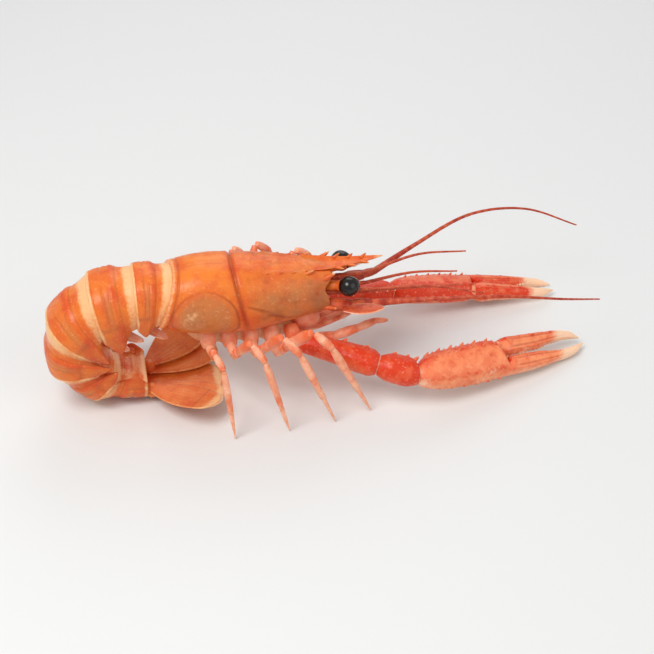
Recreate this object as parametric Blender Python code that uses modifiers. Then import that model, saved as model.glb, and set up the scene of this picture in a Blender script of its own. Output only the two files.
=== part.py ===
"""A whole raw langoustine (Norway lobster), built piece by piece in Blender.

It stands belly down: the abdomen curls under the body and rests on the tail fan, the eight
walking legs stand to the sides, and the two long claws reach forward to the ground.

World axes, in metres: +X runs from the curl of the tail to the tips of the claws, +Y is the
animal's left, +Z is up, and the ground is z = 0. Every piece is one closed solid with a gap
of SEAM to its neighbour. Trunk pieces are modelled in their own frame, with X towards the
head and Z towards the back, and hang on the empty "langoustine".
"""

import math

import bmesh
import bpy
import numpy as np
from mathutils import Matrix, Vector

MM = 0.001
SEAM = 0.4 * MM  # clearance between two shells that meet at a joint

# ---- driving dimensions -------------------------------------------------------------------
CARAPACE_LENGTH = 68 * MM  # rear edge to eye socket
ROSTRUM_LENGTH = 23 * MM
BODY_PITCH = math.radians(4.5)  # head lower than the shoulders
REAR_SLANT, GROOVE_SLANT, FACE_SLANT = 0.30, -0.24, 0.12  # dx/dz of those three edges

# one row per abdominal segment: length, turn in degrees against the one before, then the
# half width, the height of the back, the depth of the belly and the depth of the side lobes
SEGMENTS = (
    (11 * MM, 4, 14.2 * MM, 14.0 * MM, 9.5 * MM, 10.5 * MM),
    (16 * MM, 12, 15.6 * MM, 15.0 * MM, 9.5 * MM, 15.0 * MM),
    (15.5 * MM, 36, 15.3 * MM, 14.5 * MM, 9.0 * MM, 14.5 * MM),
    (15 * MM, 46, 14.6 * MM, 13.4 * MM, 8.5 * MM, 13.5 * MM),
    (14 * MM, 44, 13.6 * MM, 12.0 * MM, 7.5 * MM, 11.5 * MM),
    (17 * MM, 38, 12.2 * MM, 9.6 * MM, 6.5 * MM, 6.4 * MM),
)
TAIL_TURN = 3  # degrees, between the last segment and the fan
TAIL_TAPER = 0.75  # how much shallower the last segment's belly is at the fan

FAN_LENGTH = 31 * MM
FAN_THICKNESS = 1.5 * MM
FAN_LAYER = 2.5 * MM  # each pair of blades lies this much deeper than the last
FAN_DROP = 1.2 * MM  # from the last segment's back to the middle plate
FAN_CAMBER = 7.0  # 1/m: how fast the fan's sides curl towards the belly

CLAW_LENGTH = {"right": 84 * MM, "left": 79 * MM}
CLAW_FULLNESS = {"right": 1.0, "left": 0.88}
CLAW_ROLL = {"right": math.radians(28), "left": math.radians(12)}
CLAW_OPENING = {"right": math.radians(1), "left": math.radians(6)}

SIDES = {"right": -1, "left": 1}

# ---- looks --------------------------------------------------------------------------------
COLOURS = {
    "shell": ((0.86, 0.31, 0.09), 0.35),
    "belly": ((0.80, 0.45, 0.24), 0.5),
    "claw": ((0.83, 0.20, 0.07), 0.35),
    "leg": ((0.84, 0.42, 0.26), 0.4),
    "eye": ((0.012, 0.010, 0.010), 0.12),
    "antenna": ((0.72, 0.22, 0.11), 0.4),
    "fan": ((0.84, 0.34, 0.12), 0.35),
}


def material(look):
    """The Principled material of that name, made the first time it is asked for."""
    found = bpy.data.materials.get(look)
    if found:
        return found
    colour, roughness = COLOURS[look]
    made = bpy.data.materials.new(look)
    made.use_nodes = True
    shader = made.node_tree.nodes["Principled BSDF"]
    shader.inputs["Base Color"].default_value = (*colour, 1)
    shader.inputs["Roughness"].default_value = roughness
    shader.inputs["Metallic"].default_value = 0
    made.diffuse_color = (*colour, 1)
    return made


def through(stations, values, at):
    """A smooth curve through (station, value) pairs, read at the given places."""
    stations, values = np.asarray(stations, float), np.asarray(values, float)
    slope = np.gradient(values, stations)
    at = np.clip(at, stations[0], stations[-1])
    k = np.clip(np.searchsorted(stations, at, side="right") - 1, 0, len(stations) - 2)
    span = stations[k + 1] - stations[k]
    t = (at - stations[k]) / span
    return (
        values[k] * (1 + 2 * t) * (1 - t) ** 2
        + values[k + 1] * t**2 * (3 - 2 * t)
        + span * (slope[k] * t * (1 - t) ** 2 - slope[k + 1] * t**2 * (1 - t))
    )


# ---- the scene's own tools ----------------------------------------------------------------
def clear_scene():
    for obj in list(bpy.data.objects):
        bpy.data.objects.remove(obj, do_unlink=True)


def place(name, data, look, frame=None):
    """An object for this mesh or curve, in the part's collection and under its empty."""
    obj = bpy.data.objects.new(name, data)
    bpy.data.collections["langoustine"].objects.link(obj)
    obj.parent = bpy.data.objects["langoustine"]
    obj.matrix_basis = frame or Matrix.Identity(4)
    data.materials.clear()
    data.materials.append(material(look))
    return obj


def mesh_of(name, shape, smooth=math.radians(40)):
    """Turns a bmesh into a mesh whose faces point outwards, shaded smooth up to an angle."""
    bmesh.ops.recalc_face_normals(shape, faces=shape.faces)
    mesh = bpy.data.meshes.new(name)
    shape.to_mesh(mesh)
    shape.free()
    mesh.shade_smooth()
    mesh.set_sharp_from_angle(angle=smooth)
    return mesh


def skinned(rings):
    """A bmesh skinned over rings of equal point counts and capped at both ends."""
    shape = bmesh.new()
    skin = [[shape.verts.new(point) for point in ring] for ring in rings]
    for near, far in zip(skin, skin[1:]):
        for i in range(len(near)):
            j = (i + 1) % len(near)
            shape.faces.new((near[i], near[j], far[j], far[i]))
    shape.faces.new(skin[0][::-1])
    shape.faces.new(skin[-1])
    return shape


def loft(name, rings, look, frame=None):
    """A closed solid through these rings, placed by the frame."""
    return place(name, mesh_of(name, skinned(rings)), look, frame)


def plate(name, points, thickness, look, frame):
    """A thin plate: a sheet over a grid of points, thickened to both sides with Solidify."""
    rows, columns = points.shape[:2]
    faces = [
        (r * columns + c, (r + 1) * columns + c, (r + 1) * columns + c + 1, r * columns + c + 1)
        for r in range(rows - 1)
        for c in range(columns - 1)
    ]
    mesh = bpy.data.meshes.new(name)
    mesh.from_pydata(points.reshape(-1, 3).tolist(), [], faces)
    mesh.shade_smooth()
    made = place(name, mesh, look, frame)
    wall = made.modifiers.new("thickness", "SOLIDIFY")
    wall.thickness = thickness
    wall.offset = 0
    return made


def mm(*numbers):
    """A point given in millimetres."""
    return Vector(numbers) * MM


def tube(name, route, radii, look, sides_extra=2):
    """A limb or feeler: a curve through the route, thick as the radii say at each point."""
    curve = bpy.data.curves.new(name, "CURVE")
    curve.dimensions = "3D"
    curve.bevel_depth = MM
    curve.bevel_resolution = sides_extra
    curve.use_fill_caps = True
    spline = curve.splines.new("POLY")
    spline.points.add(len(route) - 1)
    for point, place_at, radius in zip(spline.points, route, radii):
        point.co = (*place_at, 1)
        point.radius = radius / MM
    return place(name, curve, look)


def smooth_route(points, count):
    """Count points spread along a smooth curve through the given ones."""
    points = np.array([tuple(p) for p in points])
    steps = np.linalg.norm(np.diff(points, axis=0), axis=1)
    along = np.concatenate([[0], np.cumsum(steps)])
    at = np.linspace(0, along[-1], count)
    return np.column_stack([through(along, points[:, k], at) for k in range(3)])


def spike(shape, foot, tip, radius, sides=5):
    """Adds one conical spine to a bmesh, its foot sunk a little under the shell."""
    foot, tip = Vector(foot), Vector(tip)
    turn = (tip - foot).to_track_quat("Z", "Y").to_matrix().to_4x4()
    bmesh.ops.create_cone(
        shape,
        cap_ends=True,
        segments=sides,
        radius1=radius,
        radius2=radius * 0.12,
        depth=(tip - foot).length,
        matrix=Matrix.Translation((foot + tip) / 2) @ turn,
    )


def fuse(base, shapes):
    """Joins closed bmeshes, given in the base's own frame, to it with one Boolean union."""
    helpers = bpy.data.collections.new("fusing")
    bpy.context.scene.collection.children.link(helpers)
    for shape in shapes:
        helper = bpy.data.objects.new("helper", mesh_of("helper", shape))
        helpers.objects.link(helper)
        helper.parent = base.parent
        helper.matrix_basis = base.matrix_basis
    union = base.modifiers.new("fuse", "BOOLEAN")
    union.operation = "UNION"
    union.operand_type = "COLLECTION"
    union.collection = helpers
    union.solver = "EXACT"
    bpy.context.view_layer.update()
    graph = bpy.context.evaluated_depsgraph_get()
    joined = bpy.data.meshes.new_from_object(base.evaluated_get(graph))
    base.modifiers.clear()
    base.data = joined
    for helper in list(helpers.objects):
        bpy.data.objects.remove(helper, do_unlink=True)
    bpy.data.collections.remove(helpers)


# ---- carapace -----------------------------------------------------------------------------
GROOVE_STATION = 0.475  # the groove across the back, as a share of the carapace's length
CARAPACE_STATIONS = (0, 0.05, 0.17, 0.30, 0.40, 0.445, GROOVE_STATION, 0.505, 0.58, 0.70, 0.82, 0.92, 1)
GROOVE_DEPTH = 0.07  # share of the section
CARAPACE_POINTS = 28


def carapace_half_width(u):
    return through(
        (0, 0.15, 0.35, 0.6, 0.85, 1),
        (14.6 * MM, 16.2 * MM, 17.0 * MM, 16.0 * MM, 13.2 * MM, 11.2 * MM),
        u,
    )


def carapace_top(u):
    return through(
        (0, 0.2, 0.45, 0.7, 0.9, 1),
        (14.4 * MM, 16.4 * MM, 16.6 * MM, 15.6 * MM, 13.4 * MM, 12.2 * MM),
        u,
    )


def carapace_bottom(u):
    return through(
        (0, 0.2, 0.5, 0.75, 1), (11.5 * MM, 15.5 * MM, 15.2 * MM, 12.0 * MM, 8.5 * MM), u
    )


def carapace_ring(u, scale=1.0, ahead=0.0):
    """One cross section: an arched back, bulging flanks and a tucked-in belly."""
    angle = np.linspace(0, 2 * math.pi, CARAPACE_POINTS, endpoint=False)
    s, c = np.sin(angle), np.cos(angle)
    groove = 1 - GROOVE_DEPTH * (u == GROOVE_STATION) * np.clip(c + 0.75, 0, 1) ** 0.5
    tuck = 1 - 0.22 * np.clip(-c, 0, 1) ** 1.5
    y = carapace_half_width(u) * np.sign(s) * np.abs(s) ** 0.82 * tuck * groove
    depth = np.where(c > 0, carapace_top(u), carapace_bottom(u))
    z = depth * np.sign(c) * np.abs(c) ** np.where(c > 0, 0.9, 0.6) * groove
    slant = through((0, GROOVE_STATION, 1), (REAR_SLANT, GROOVE_SLANT, FACE_SLANT), u)
    x = CARAPACE_LENGTH * u + z * slant + ahead
    return np.column_stack([x, y * scale, z * scale])


ROSTRUM_SECTIONS = (  # share of its length, half width and depth in mm
    (-0.3, 5.2, 3.2),
    (0.0, 4.4, 2.8),
    (0.35, 2.9, 2.2),
    (0.7, 1.7, 1.5),
    (1.0, 0.35, 0.35),
)
ROSTRUM_LIFT = 2.2 * MM  # how far its point rises above its root


def rostrum_rings():
    """The pointed beak between the eyes: a flat-topped blade that rises a little."""
    rings = []
    for along, half_width, depth in ROSTRUM_SECTIONS:
        x = CARAPACE_LENGTH + FACE_SLANT * carapace_top(1) + along * ROSTRUM_LENGTH
        top = carapace_top(1) + 0.6 * MM + ROSTRUM_LIFT * max(along, 0) ** 1.5 - 0.8 * MM * min(along, 0)
        w, d = half_width * MM, depth * MM
        upper = [(x, w, top), (x, 0, top - 0.25 * d), (x, -w, top)]
        lower = [(x, -0.7 * w, top - 0.6 * d), (x, 0, top - d), (x, 0.7 * w, top - 0.6 * d)]
        rings.append(upper + lower)
    return rings


def head_spines():
    """Teeth along the beak, two pairs of spines behind the eyes, one pair under them."""
    spines = bmesh.new()
    for side in SIDES.values():
        for along in (0.12, 0.36, 0.6):
            root = Vector((CARAPACE_LENGTH + along * ROSTRUM_LENGTH, 0, carapace_top(1)))
            root += Vector((0, 0, ROSTRUM_LIFT * along**1.5)) + mm(1.5, side * (3.5 - 4.2 * along), 0)
            spike(spines, root, root + mm(3, side * 2.5, 0.9), 0.9 * MM)
        for back, across in ((0, 7.4), (9, 6.2)):
            root = Vector((CARAPACE_LENGTH, 0, 0.8 * carapace_top(1 - back * MM / CARAPACE_LENGTH)))
            root += mm(-back - 2, side * 0.9 * across, -1.2)
            spike(spines, root, root + mm(5.4, side * 0.1 * across, 4.4), 1.4 * MM)
        root = Vector((CARAPACE_LENGTH, 0, 0)) + mm(-2, side * 9.4, -3)
        spike(spines, root, root + mm(6.6, side * 3.2, 0.8), 1.3 * MM)
    return spines


def carapace(frame):
    """The shell over head and thorax, its face drawn in round the mouth, with the beak."""
    rings = [carapace_ring(u) for u in CARAPACE_STATIONS]
    rings[0] = rings[0] + np.array([SEAM / 2, 0, 0])
    rings.append(carapace_ring(1, scale=0.82, ahead=1.6 * MM))
    rings.append(carapace_ring(1, scale=0.5, ahead=2.4 * MM))
    fuse(loft("carapace", rings, "shell", frame), [skinned(rostrum_rings()), head_spines()])


# ---- abdomen ------------------------------------------------------------------------------
FACET = 0.34  # the share of a segment that slides under the one in front
SEGMENT_STATIONS = (0, 0.12, 0.25, FACET, 0.38, 0.58, 0.82, 1.0)
SEGMENT_GIRTH = (0.90, 0.91, 0.92, 0.92, 1.0, 1.02, 1.01, 1.03)  # steps up behind the facet


def segment_ring(row, before, tilt, share, girth, taper):
    """A section of one segment: the arch of the back, the side lobes, then the belly.

    The ring lies in a plane through the hinge's axis, which turns from the tilt of the
    front joint to square as it moves back along the segment.
    """
    length, _, width, top, belly, lobe = row
    blend = min(1.0, share / FACET)
    width = width * blend + before[2] * (1 - blend)
    top = top * blend + before[3] * (1 - blend)
    belly = belly * (1 - taper * share)
    point = max(0.0, 1 - abs(share - 0.62) / 0.5)
    lobe = belly * 0.7 + (lobe - belly * 0.7) * point
    angle = np.radians(np.arange(0, 91, 15))
    below = [(0.97, -0.55 * lobe), (0.90, -lobe), (0.72, -0.72 * belly), (0.4, -0.9 * belly), (0, -belly)]
    y = np.concatenate([width * np.sin(angle) ** 0.82, [width * share_out for share_out, _ in below]])
    z = np.concatenate([top * np.cos(angle) ** 0.92, [down for _, down in below]])
    y, z = y * girth, z * np.where(z > 0, girth, 1)
    y = np.concatenate([y, -y[-2:0:-1]])
    z = np.concatenate([z, z[-2:0:-1]])
    lean = math.asin(math.sin(tilt) * (1 - share) ** 1.5)
    back = SEAM / 2 + (length - SEAM) * share
    return np.column_stack([-back + z * math.sin(lean), y, z * math.cos(lean)])


def curl(base):
    """The frame of each abdominal segment and of the fan, from the carapace's hinge on."""
    frames = []
    frame = base
    for length, turn, *_ in SEGMENTS:
        frame = frame @ Matrix.Rotation(-math.radians(turn), 4, "Y")
        frames.append(frame)
        frame = frame @ Matrix.Translation((-length, 0, 0))
    frames.append(frame @ Matrix.Rotation(-math.radians(TAIL_TURN), 4, "Y"))
    return frames


def segment_rings(index):
    row = SEGMENTS[index]
    before = SEGMENTS[max(index - 1, 0)]
    tilt = math.radians(row[1]) + (math.atan(REAR_SLANT) if index == 0 else 0)
    taper = TAIL_TAPER if index == len(SEGMENTS) - 1 else 0
    along = zip(SEGMENT_STATIONS, SEGMENT_GIRTH)
    return [segment_ring(row, before, tilt, share, girth, taper) for share, girth in along]


def hinge_height():
    """How high the carapace's hinge stands when the curled tail just touches the ground."""
    frames = curl(Matrix.Rotation(BODY_PITCH, 4, "Y"))
    lowest = 0.0
    for index in range(len(SEGMENTS)):
        for ring in segment_rings(index):
            lowest = min(lowest, min((frames[index] @ Vector(p)).z for p in ring))
    return -lowest


def abdomen(frames):
    for index in range(len(SEGMENTS)):
        loft(f"abdomen_{index + 1}", segment_rings(index), "shell", frames[index])


# ---- tail fan -----------------------------------------------------------------------------
# name: side, layer, foot (x, y), splay in degrees, length and greatest half width
FAN_BLADES = {
    "telson": (0, 0, (-1.2 * MM, 0), 0, FAN_LENGTH, 9.6 * MM),
    "uropod_inner_right": (-1, 1, (-2.0 * MM, -6.5 * MM), 15, 0.98 * FAN_LENGTH, 7.8 * MM),
    "uropod_inner_left": (1, 1, (-2.0 * MM, 6.5 * MM), 17, 0.98 * FAN_LENGTH, 7.8 * MM),
    "uropod_outer_right": (-1, 2, (-2.0 * MM, -8.5 * MM), 34, 1.0 * FAN_LENGTH, 9.0 * MM),
    "uropod_outer_left": (1, 2, (-2.0 * MM, 8.5 * MM), 38, 1.0 * FAN_LENGTH, 9.0 * MM),
}


def blade_outline(layer, share):
    """Half width of a blade, as a share of its greatest, from foot to rounded end."""
    if layer == 0:
        return through((0, 0.12, 0.5, 0.86, 0.96, 1), (0.86, 0.98, 1.0, 0.88, 0.66, 0.30), share)
    return through((0, 0.15, 0.4, 0.7, 0.9, 1), (0.32, 0.58, 0.9, 1.0, 0.78, 0.28), share)


BLADE_STATIONS = (0, 0.08, 0.2, 0.4, 0.6, 0.78, 0.9, 0.96, 1.0)


def fan_blade(name, frame):
    """One plate of the fan: an oval that bends with the fan and lies in its own layer."""
    side, layer, foot, splay, length, width = FAN_BLADES[name]
    share, across = np.meshgrid(BLADE_STATIONS, np.linspace(-1, 1, 7), indexing="ij")
    out, lateral = share * length, across * width * blade_outline(layer, share)
    turn = math.radians(splay) * side
    x = foot[0] - (out * math.cos(turn) + lateral * math.sin(turn))
    y = foot[1] + out * math.sin(turn) - lateral * math.cos(turn)
    z = SEGMENTS[-1][3] - FAN_DROP - layer * FAN_LAYER - FAN_CAMBER * y**2
    plate(name, np.stack([x, y, z], axis=-1), FAN_THICKNESS, "fan", frame)


# ---- limbs --------------------------------------------------------------------------------
def strut(name, start, end, sections, size, lean):
    """A stout segment of a claw's arm: oval rings along a straight line.

    Each end ring faces halfway towards the direction given in lean, so that two segments
    that meet at an angle share one plane.
    """
    along = (end - start).normalized()
    first, last = start + along * SEAM / 2, end - along * SEAM / 2
    facing = {0: lean[0], 1: lean[1]}
    rings = []
    for share, half_width, half_thickness in sections:
        normal = along + (facing.get(share) or along).normalized()
        across = Vector((0, 0, 1)).cross(normal).normalized() * half_width * size * MM
        rise = normal.cross(across).normalized() * half_thickness * size * MM
        centre = first.lerp(last, share)
        angles = np.linspace(0, 2 * math.pi, 10, endpoint=False)
        rings.append([centre + across * math.cos(a) + rise * math.sin(a) for a in angles])
    loft(name, rings, "claw")


PALM_SECTIONS = (  # share of the claw's length, centre, half width, half thickness, in mm
    (0.0, 0.0, 4.2, 4.4),
    (0.025, 0.0, 5.8, 5.4),
    (0.08, -0.2, 7.4, 6.2),
    (0.20, -0.3, 8.4, 6.6),
    (0.34, -0.2, 8.7, 6.6),
    (0.445, 0.0, 8.3, 6.1),
    (0.473, -0.9, 7.4, 5.9),
    (0.485, -2.6, 5.7, 5.6),
    (0.489, -4.3, 4.0, 5.2),
    (0.60, -4.3, 4.0, 4.6),
    (0.72, -4.1, 3.5, 3.9),
    (0.80, -4.1, 2.6, 3.3),
    (0.88, -3.8, 2.2, 2.7),
    (0.95, -2.6, 1.7, 1.9),
    (1.0, -0.8, 0.5, 0.6),
)
DACTYL_SECTIONS = (
    (0.495, 4.2, 3.4, 4.5),
    (0.515, 4.3, 3.9, 5.0),
    (0.61, 4.3, 3.9, 4.5),
    (0.72, 4.2, 3.6, 3.8),
    (0.80, 4.4, 2.8, 3.2),
    (0.88, 4.1, 2.3, 2.6),
    (0.94, 3.2, 1.7, 1.8),
    (0.985, 1.4, 0.5, 0.6),
)


CLAW_RING_ANGLES = (0, 22, 50, 75, 105, 130, 158, 180, 205, 235, 270, 305, 335)
CLAW_RIDGE_ANGLES = (0, 50, 130, 180)
CLAW_RIDGE = 0.06  # how far a ridge stands out, as a share of the section
CLAW_SPINE_HEIGHTS = (2.2, 1.3, 1.3, 2.0)  # mm, on each of those ridges


def claw_rings(sections, length, fullness, up, lean=Vector((1, 0, 0))):
    """Rings of a claw piece in the claw's frame: X along it, Y towards the moving finger.

    A ring is an oval with ridges at both margins and two more along its upper face. Up is the
    sign of Z on that face. Lean is the direction the first ring faces; the rings behind it
    turn back to X.
    """
    angle = np.radians(CLAW_RING_ANGLES)
    ridge = 1 + CLAW_RIDGE * np.isin(CLAW_RING_ANGLES, CLAW_RIDGE_ANGLES)
    rings = []
    for share, centre, half_width, half_thickness in sections:
        c, s = np.cos(angle) * ridge, np.sin(angle) * ridge
        y = (centre + half_width * np.sign(c) * np.abs(c) ** 0.85) * MM * fullness
        z = up * half_thickness * np.sign(s) * np.abs(s) ** 0.85 * MM * fullness
        turned = max(0.0, 1 - share / 0.12)
        x = share * length - turned * (lean.y * y + lean.z * z) / lean.x
        rings.append(np.column_stack([x, y, z]))
    return rings


def claw_spines(length, fullness, up):
    """Rows of spines along the four ridges of the palm, larger on its margins."""
    spines = bmesh.new()
    shares, _, widths, depths = np.array(PALM_SECTIONS).T
    for angle, height in zip(CLAW_RIDGE_ANGLES, CLAW_SPINE_HEIGHTS):
        c, s = math.cos(math.radians(angle)), math.sin(math.radians(angle))
        for share in np.linspace(0.09, 0.45, 6) + 0.02 * abs(s):
            half_width = np.interp(share, shares, widths) * MM * fullness
            half_depth = np.interp(share, shares, depths) * MM * fullness
            rise = 0.86 * half_depth * abs(s) ** 0.85
            foot = Vector((share * length, 0.86 * half_width * c, up * rise))
            out = Vector((0.9, c, up * (s + 0.25))).normalized()
            spike(spines, foot, foot + out * (height + 1.3) * MM, 0.6 * height * MM, sides=4)
    return spines


SHOULDER = mm(55, 9.6, -19.4)  # of the left arm, in the carapace's frame
ELBOW = {"right": mm(87, -25, 19.5), "left": mm(88, 23, 18.5)}
WRIST = {"right": mm(103, -30, 16.0), "left": mm(104, 27, 15.0)}
CLAW_TIP = {"right": mm(184, -9, 3.1), "left": mm(181.5, 33.5, 1.8)}
KNUCKLE_OFFSET = 7 * MM  # the moving finger's hinge, from the claw's centre line


MERUS_SECTIONS = (  # share of the segment's length, half width and half thickness in mm
    (0, 3.4, 3.2),
    (0.12, 4.6, 4.2),
    (0.5, 5.2, 4.9),
    (0.82, 6.0, 5.6),
    (0.95, 5.6, 5.2),
    (1, 4.6, 4.3),
)
CARPUS_SECTIONS = ((0, 4.4, 4.2), (0.14, 5.5, 5.3), (0.55, 6.5, 6.1), (0.86, 6.0, 5.6), (1, 4.6, 4.5))


def claw(side, body):
    """Merus, carpus, palm with its fixed finger, and moving finger of one claw."""
    hand, size = SIDES[side], CLAW_FULLNESS[side]
    shoulder = body @ Vector((SHOULDER[0], hand * SHOULDER[1], SHOULDER[2]))
    elbow, wrist, tip = ELBOW[side], WRIST[side], CLAW_TIP[side]
    arm, fore, palm_axis = elbow - shoulder, wrist - elbow, (tip - wrist).normalized()
    strut(f"claw_merus_{side}", shoulder, elbow, MERUS_SECTIONS, size, (None, fore))
    strut(f"claw_carpus_{side}", elbow, wrist, CARPUS_SECTIONS, size, (arm, palm_axis))

    roll = CLAW_ROLL[side]
    inward = Vector((0, -hand * math.cos(roll), math.sin(roll)))
    across = (inward - palm_axis * inward.dot(palm_axis)).normalized()
    turn = Matrix((palm_axis, across, palm_axis.cross(across))).transposed()
    frame = Matrix.Translation(wrist + palm_axis * SEAM) @ turn.to_4x4()
    lean = turn.transposed() @ (palm_axis + fore.normalized()).normalized()
    length, up = CLAW_LENGTH[side], -hand
    rings = claw_rings(PALM_SECTIONS, length, size, up, lean)
    palm = loft(f"claw_palm_{side}", rings, "claw", frame)
    fuse(palm, [claw_spines(length, size, up)])

    knuckle = Vector((DACTYL_SECTIONS[0][0] * length, KNUCKLE_OFFSET * size, 0))
    swing = Matrix.Rotation(CLAW_OPENING[side], 4, "Z")
    opened = frame @ Matrix.Translation(knuckle) @ swing @ Matrix.Translation(-knuckle)
    loft(f"claw_finger_{side}", claw_rings(DACTYL_SECTIONS, length, size, up), "claw", opened)


# Walking legs, in mm: the hip (x, y) in the carapace's frame, then the knee and the toe over
# the ground, all for the right side; last, how far the left leg's knee and toe are shifted.
LEGS = (
    ((46, 10.0), (59, 28, 45), (83, 32), (1.5, -1.0)),
    ((37, 10.4), (46, 31, 47), (67, 36), (-2.0, 1.0)),
    ((28, 10.4), (33, 31.5, 46), (47, 38), (1.0, 0.5)),
    ((19, 10.0), (18, 29.5, 42), (24, 38.5), (-1.5, 0.0)),
)
TOE_HEIGHT = 0.2  # mm
UPPER_RADII = (2.6, 2.3, 2.4, 2.5, 1.6)  # mm, from hip to knee, of the first leg
LOWER_RADII = (1.4, 2.1, 1.7, 2.0, 1.8, 1.2, 0.5)  # mm, from knee to toe
LEG_THINNING = 0.06  # each pair is this much thinner than the one before


def leg(number, side, body):
    """One walking leg, as an upper limb to the knee and a lower limb to the toe."""
    hip, knee, toe, shift = LEGS[number]
    hand = SIDES[side]
    dx, dy = shift if side == "left" else (0, 0)
    socket = body @ mm(hip[0], hand * hip[1], -19)
    root = body @ mm(hip[0] + 1.5, hand * (hip[1] + 6), -20.5)
    knee = mm(knee[0] + dx, hand * (knee[1] + dy), knee[2])
    toe = mm(toe[0] + dx, hand * (toe[1] + dy), TOE_HEIGHT)
    thick = (1 - LEG_THINNING * number) * MM
    end = knee - (knee - root).normalized() * 1.4 * MM
    route = [socket, root, root.lerp(end, 0.25), root.lerp(end, 0.75), end]
    tube(f"leg_{number + 1}_upper_{side}", route, [r * thick for r in UPPER_RADII], "leg")

    bend = knee.lerp(toe, 0.22) + mm(1.8, hand * 2.4, 2.6)
    start = knee + (bend - knee).normalized() * 1.7 * MM
    route = [start, start.lerp(bend, 0.45), bend, *(bend.lerp(toe, t) for t in (0.2, 0.55, 0.8, 1))]
    tube(f"leg_{number + 1}_lower_{side}", route, [r * thick for r in LOWER_RADII], "leg")


BREASTPLATE_SECTIONS = (  # x, half width, depth of its top and of its bottom, in mm
    (10, 6.0, 15.6, 19.5),
    (18, 8.4, 16.4, 22.0),
    (36, 8.6, 16.3, 22.5),
    (52, 7.0, 15.8, 22.0),
    (60, 5.0, 15.0, 19.5),
)


def underbody(body):
    """The narrow breastplate between the legs, just under the carapace."""
    rings = []
    for x, w, top, bottom in BREASTPLATE_SECTIONS:
        half = [(w, -top), (w, -(top + bottom) / 2), (0.6 * w, -bottom)]
        section = half + [(-y, z) for y, z in reversed(half)]
        rings.append([mm(x, y, z) for y, z in section])
    loft("breastplate", rings, "belly", body)


MAXILLIPED_ROUTE = (  # for the left one, in mm, and its radius there
    ((55, 3.4, -24.4), 2.2),
    ((63, 4.2, -25.4), 2.6),
    ((74, 5.6, -23.0), 2.4),
    ((84, 6.4, -18.5), 2.0),
    ((91, 6.0, -15.5), 1.6),
    ((97, 4.8, -16.5), 0.7),
)


def maxilliped(side, body):
    """The jointed mouth leg, folded forward and down under the head."""
    points = [body @ mm(x, SIDES[side] * y, z) for (x, y, z), _ in MAXILLIPED_ROUTE]
    tube(f"maxilliped_{side}", points, [radius * MM for _, radius in MAXILLIPED_ROUTE], "leg")


# ---- head ---------------------------------------------------------------------------------
EYE_CENTRE = (76.8, 9.0, 6.6)  # mm, of the left eye
EYE_RADII = (5.2 * MM, 4.3 * MM, 4.2 * MM)
EYE_STALK = ((72.5, 5.4, 5.0), (77.4, 8.6, 6.4))  # mm, its two ends


def eye(side, body):
    """A large black eye on its short stalk."""
    hand = SIDES[side]
    shape = bmesh.new()
    bmesh.ops.create_uvsphere(shape, u_segments=16, v_segments=9, radius=1)
    swivel = Matrix.Rotation(hand * math.radians(-24), 4, "Z")
    x, y, z = EYE_CENTRE
    globe = Matrix.Translation(mm(x, hand * y, z)) @ swivel @ Matrix.Diagonal((*EYE_RADII, 1))
    bmesh.ops.transform(shape, matrix=globe, verts=shape.verts)
    ball = place(f"eye_{side}", mesh_of(f"eye_{side}", shape), "eye", body)
    stalk = bmesh.new()
    foot, end = (mm(x, hand * y, z) for x, y, z in EYE_STALK)
    spike(stalk, foot, end, 2.3 * MM, sides=8)
    fuse(ball, [stalk])


ANTENNA_BASE = ((72.6, 8.2, -3.6), (75.5, 8.8, -3.7), (82, 9.6, -3.4), (88, 10.0, -2.6))
ANTENNA_BASE_RADII = (2.2, 3.0, 2.9, 2.5)
ANTENNA_WHIP = {  # mm, in the carapace's frame, y outward
    "right": ((93, 10.6, -1.6), (112, 17, 4), (140, 23, 8), (168, 21, 3), (188, 13, -5)),
    "left": ((93, 10.6, -1.6), (112, 18, 6), (140, 29, 13), (166, 33, 11), (190, 30, 3)),
}
ANTENNULES = {"outer": (3.4, 6.0, 46), "inner": (0.5, 1.0, 40)}  # offset, lift, reach in mm


def antenna(side, body):
    """The long feeler: a thick jointed base and a tapering whip."""
    hand = SIDES[side]
    base = [body @ mm(x, hand * y, z) for x, y, z in ANTENNA_BASE]
    whip = smooth_route([body @ mm(x, hand * y, z) for x, y, z in ANTENNA_WHIP[side]], 16)
    radii = [*ANTENNA_BASE_RADII, *np.linspace(1.5, 0.4, len(whip))]
    tube(f"antenna_{side}", [*base, *whip], [r * MM for r in radii], "antenna", sides_extra=1)


def antennule(branch, side, body):
    """One of the two short whips beside the beak, on its stalk."""
    offset, lift, reach = ANTENNULES[branch]

    def at(x, y, z):
        return body @ mm(x, SIDES[side] * y, z)

    stalk = [at(73.2, offset + 1.2, offset - 2.2), at(80, offset + 1.6, offset - 2.0)]
    middle = at(88 + reach / 2, 4 + offset * 2.0, lift)
    end = at(88 + reach, 3 + offset * 3.4, lift * 0.6)
    whip = smooth_route([at(88, offset + 2.2, offset - 1.6), middle, end], 7)
    radii = [1.3, 1.3, *np.linspace(0.8, 0.35, len(whip))]
    name = f"antennule_{branch}_{side}"
    tube(name, [*stalk, *whip], [r * MM for r in radii], "antenna", sides_extra=0)


def antenna_scale(side, body):
    """The oval plate that shields the base of the antenna."""
    share, across = np.meshgrid(np.linspace(0, 1, 6), np.linspace(-1, 1, 4), indexing="ij")
    half_width = through((0, 0.3, 0.6, 0.9, 1), (1.6, 3.2, 3.1, 1.6, 0.5), share)
    x = 74 + 17 * share
    y = 14.6 + 2.4 * share + across * half_width
    z = -0.8 + 1.6 * share - 0.04 * (across * half_width) ** 2
    sheet = np.stack([x, SIDES[side] * y, z], axis=-1) * MM
    plate(f"antenna_scale_{side}", sheet, 0.9 * MM, "antenna", body)


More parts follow.
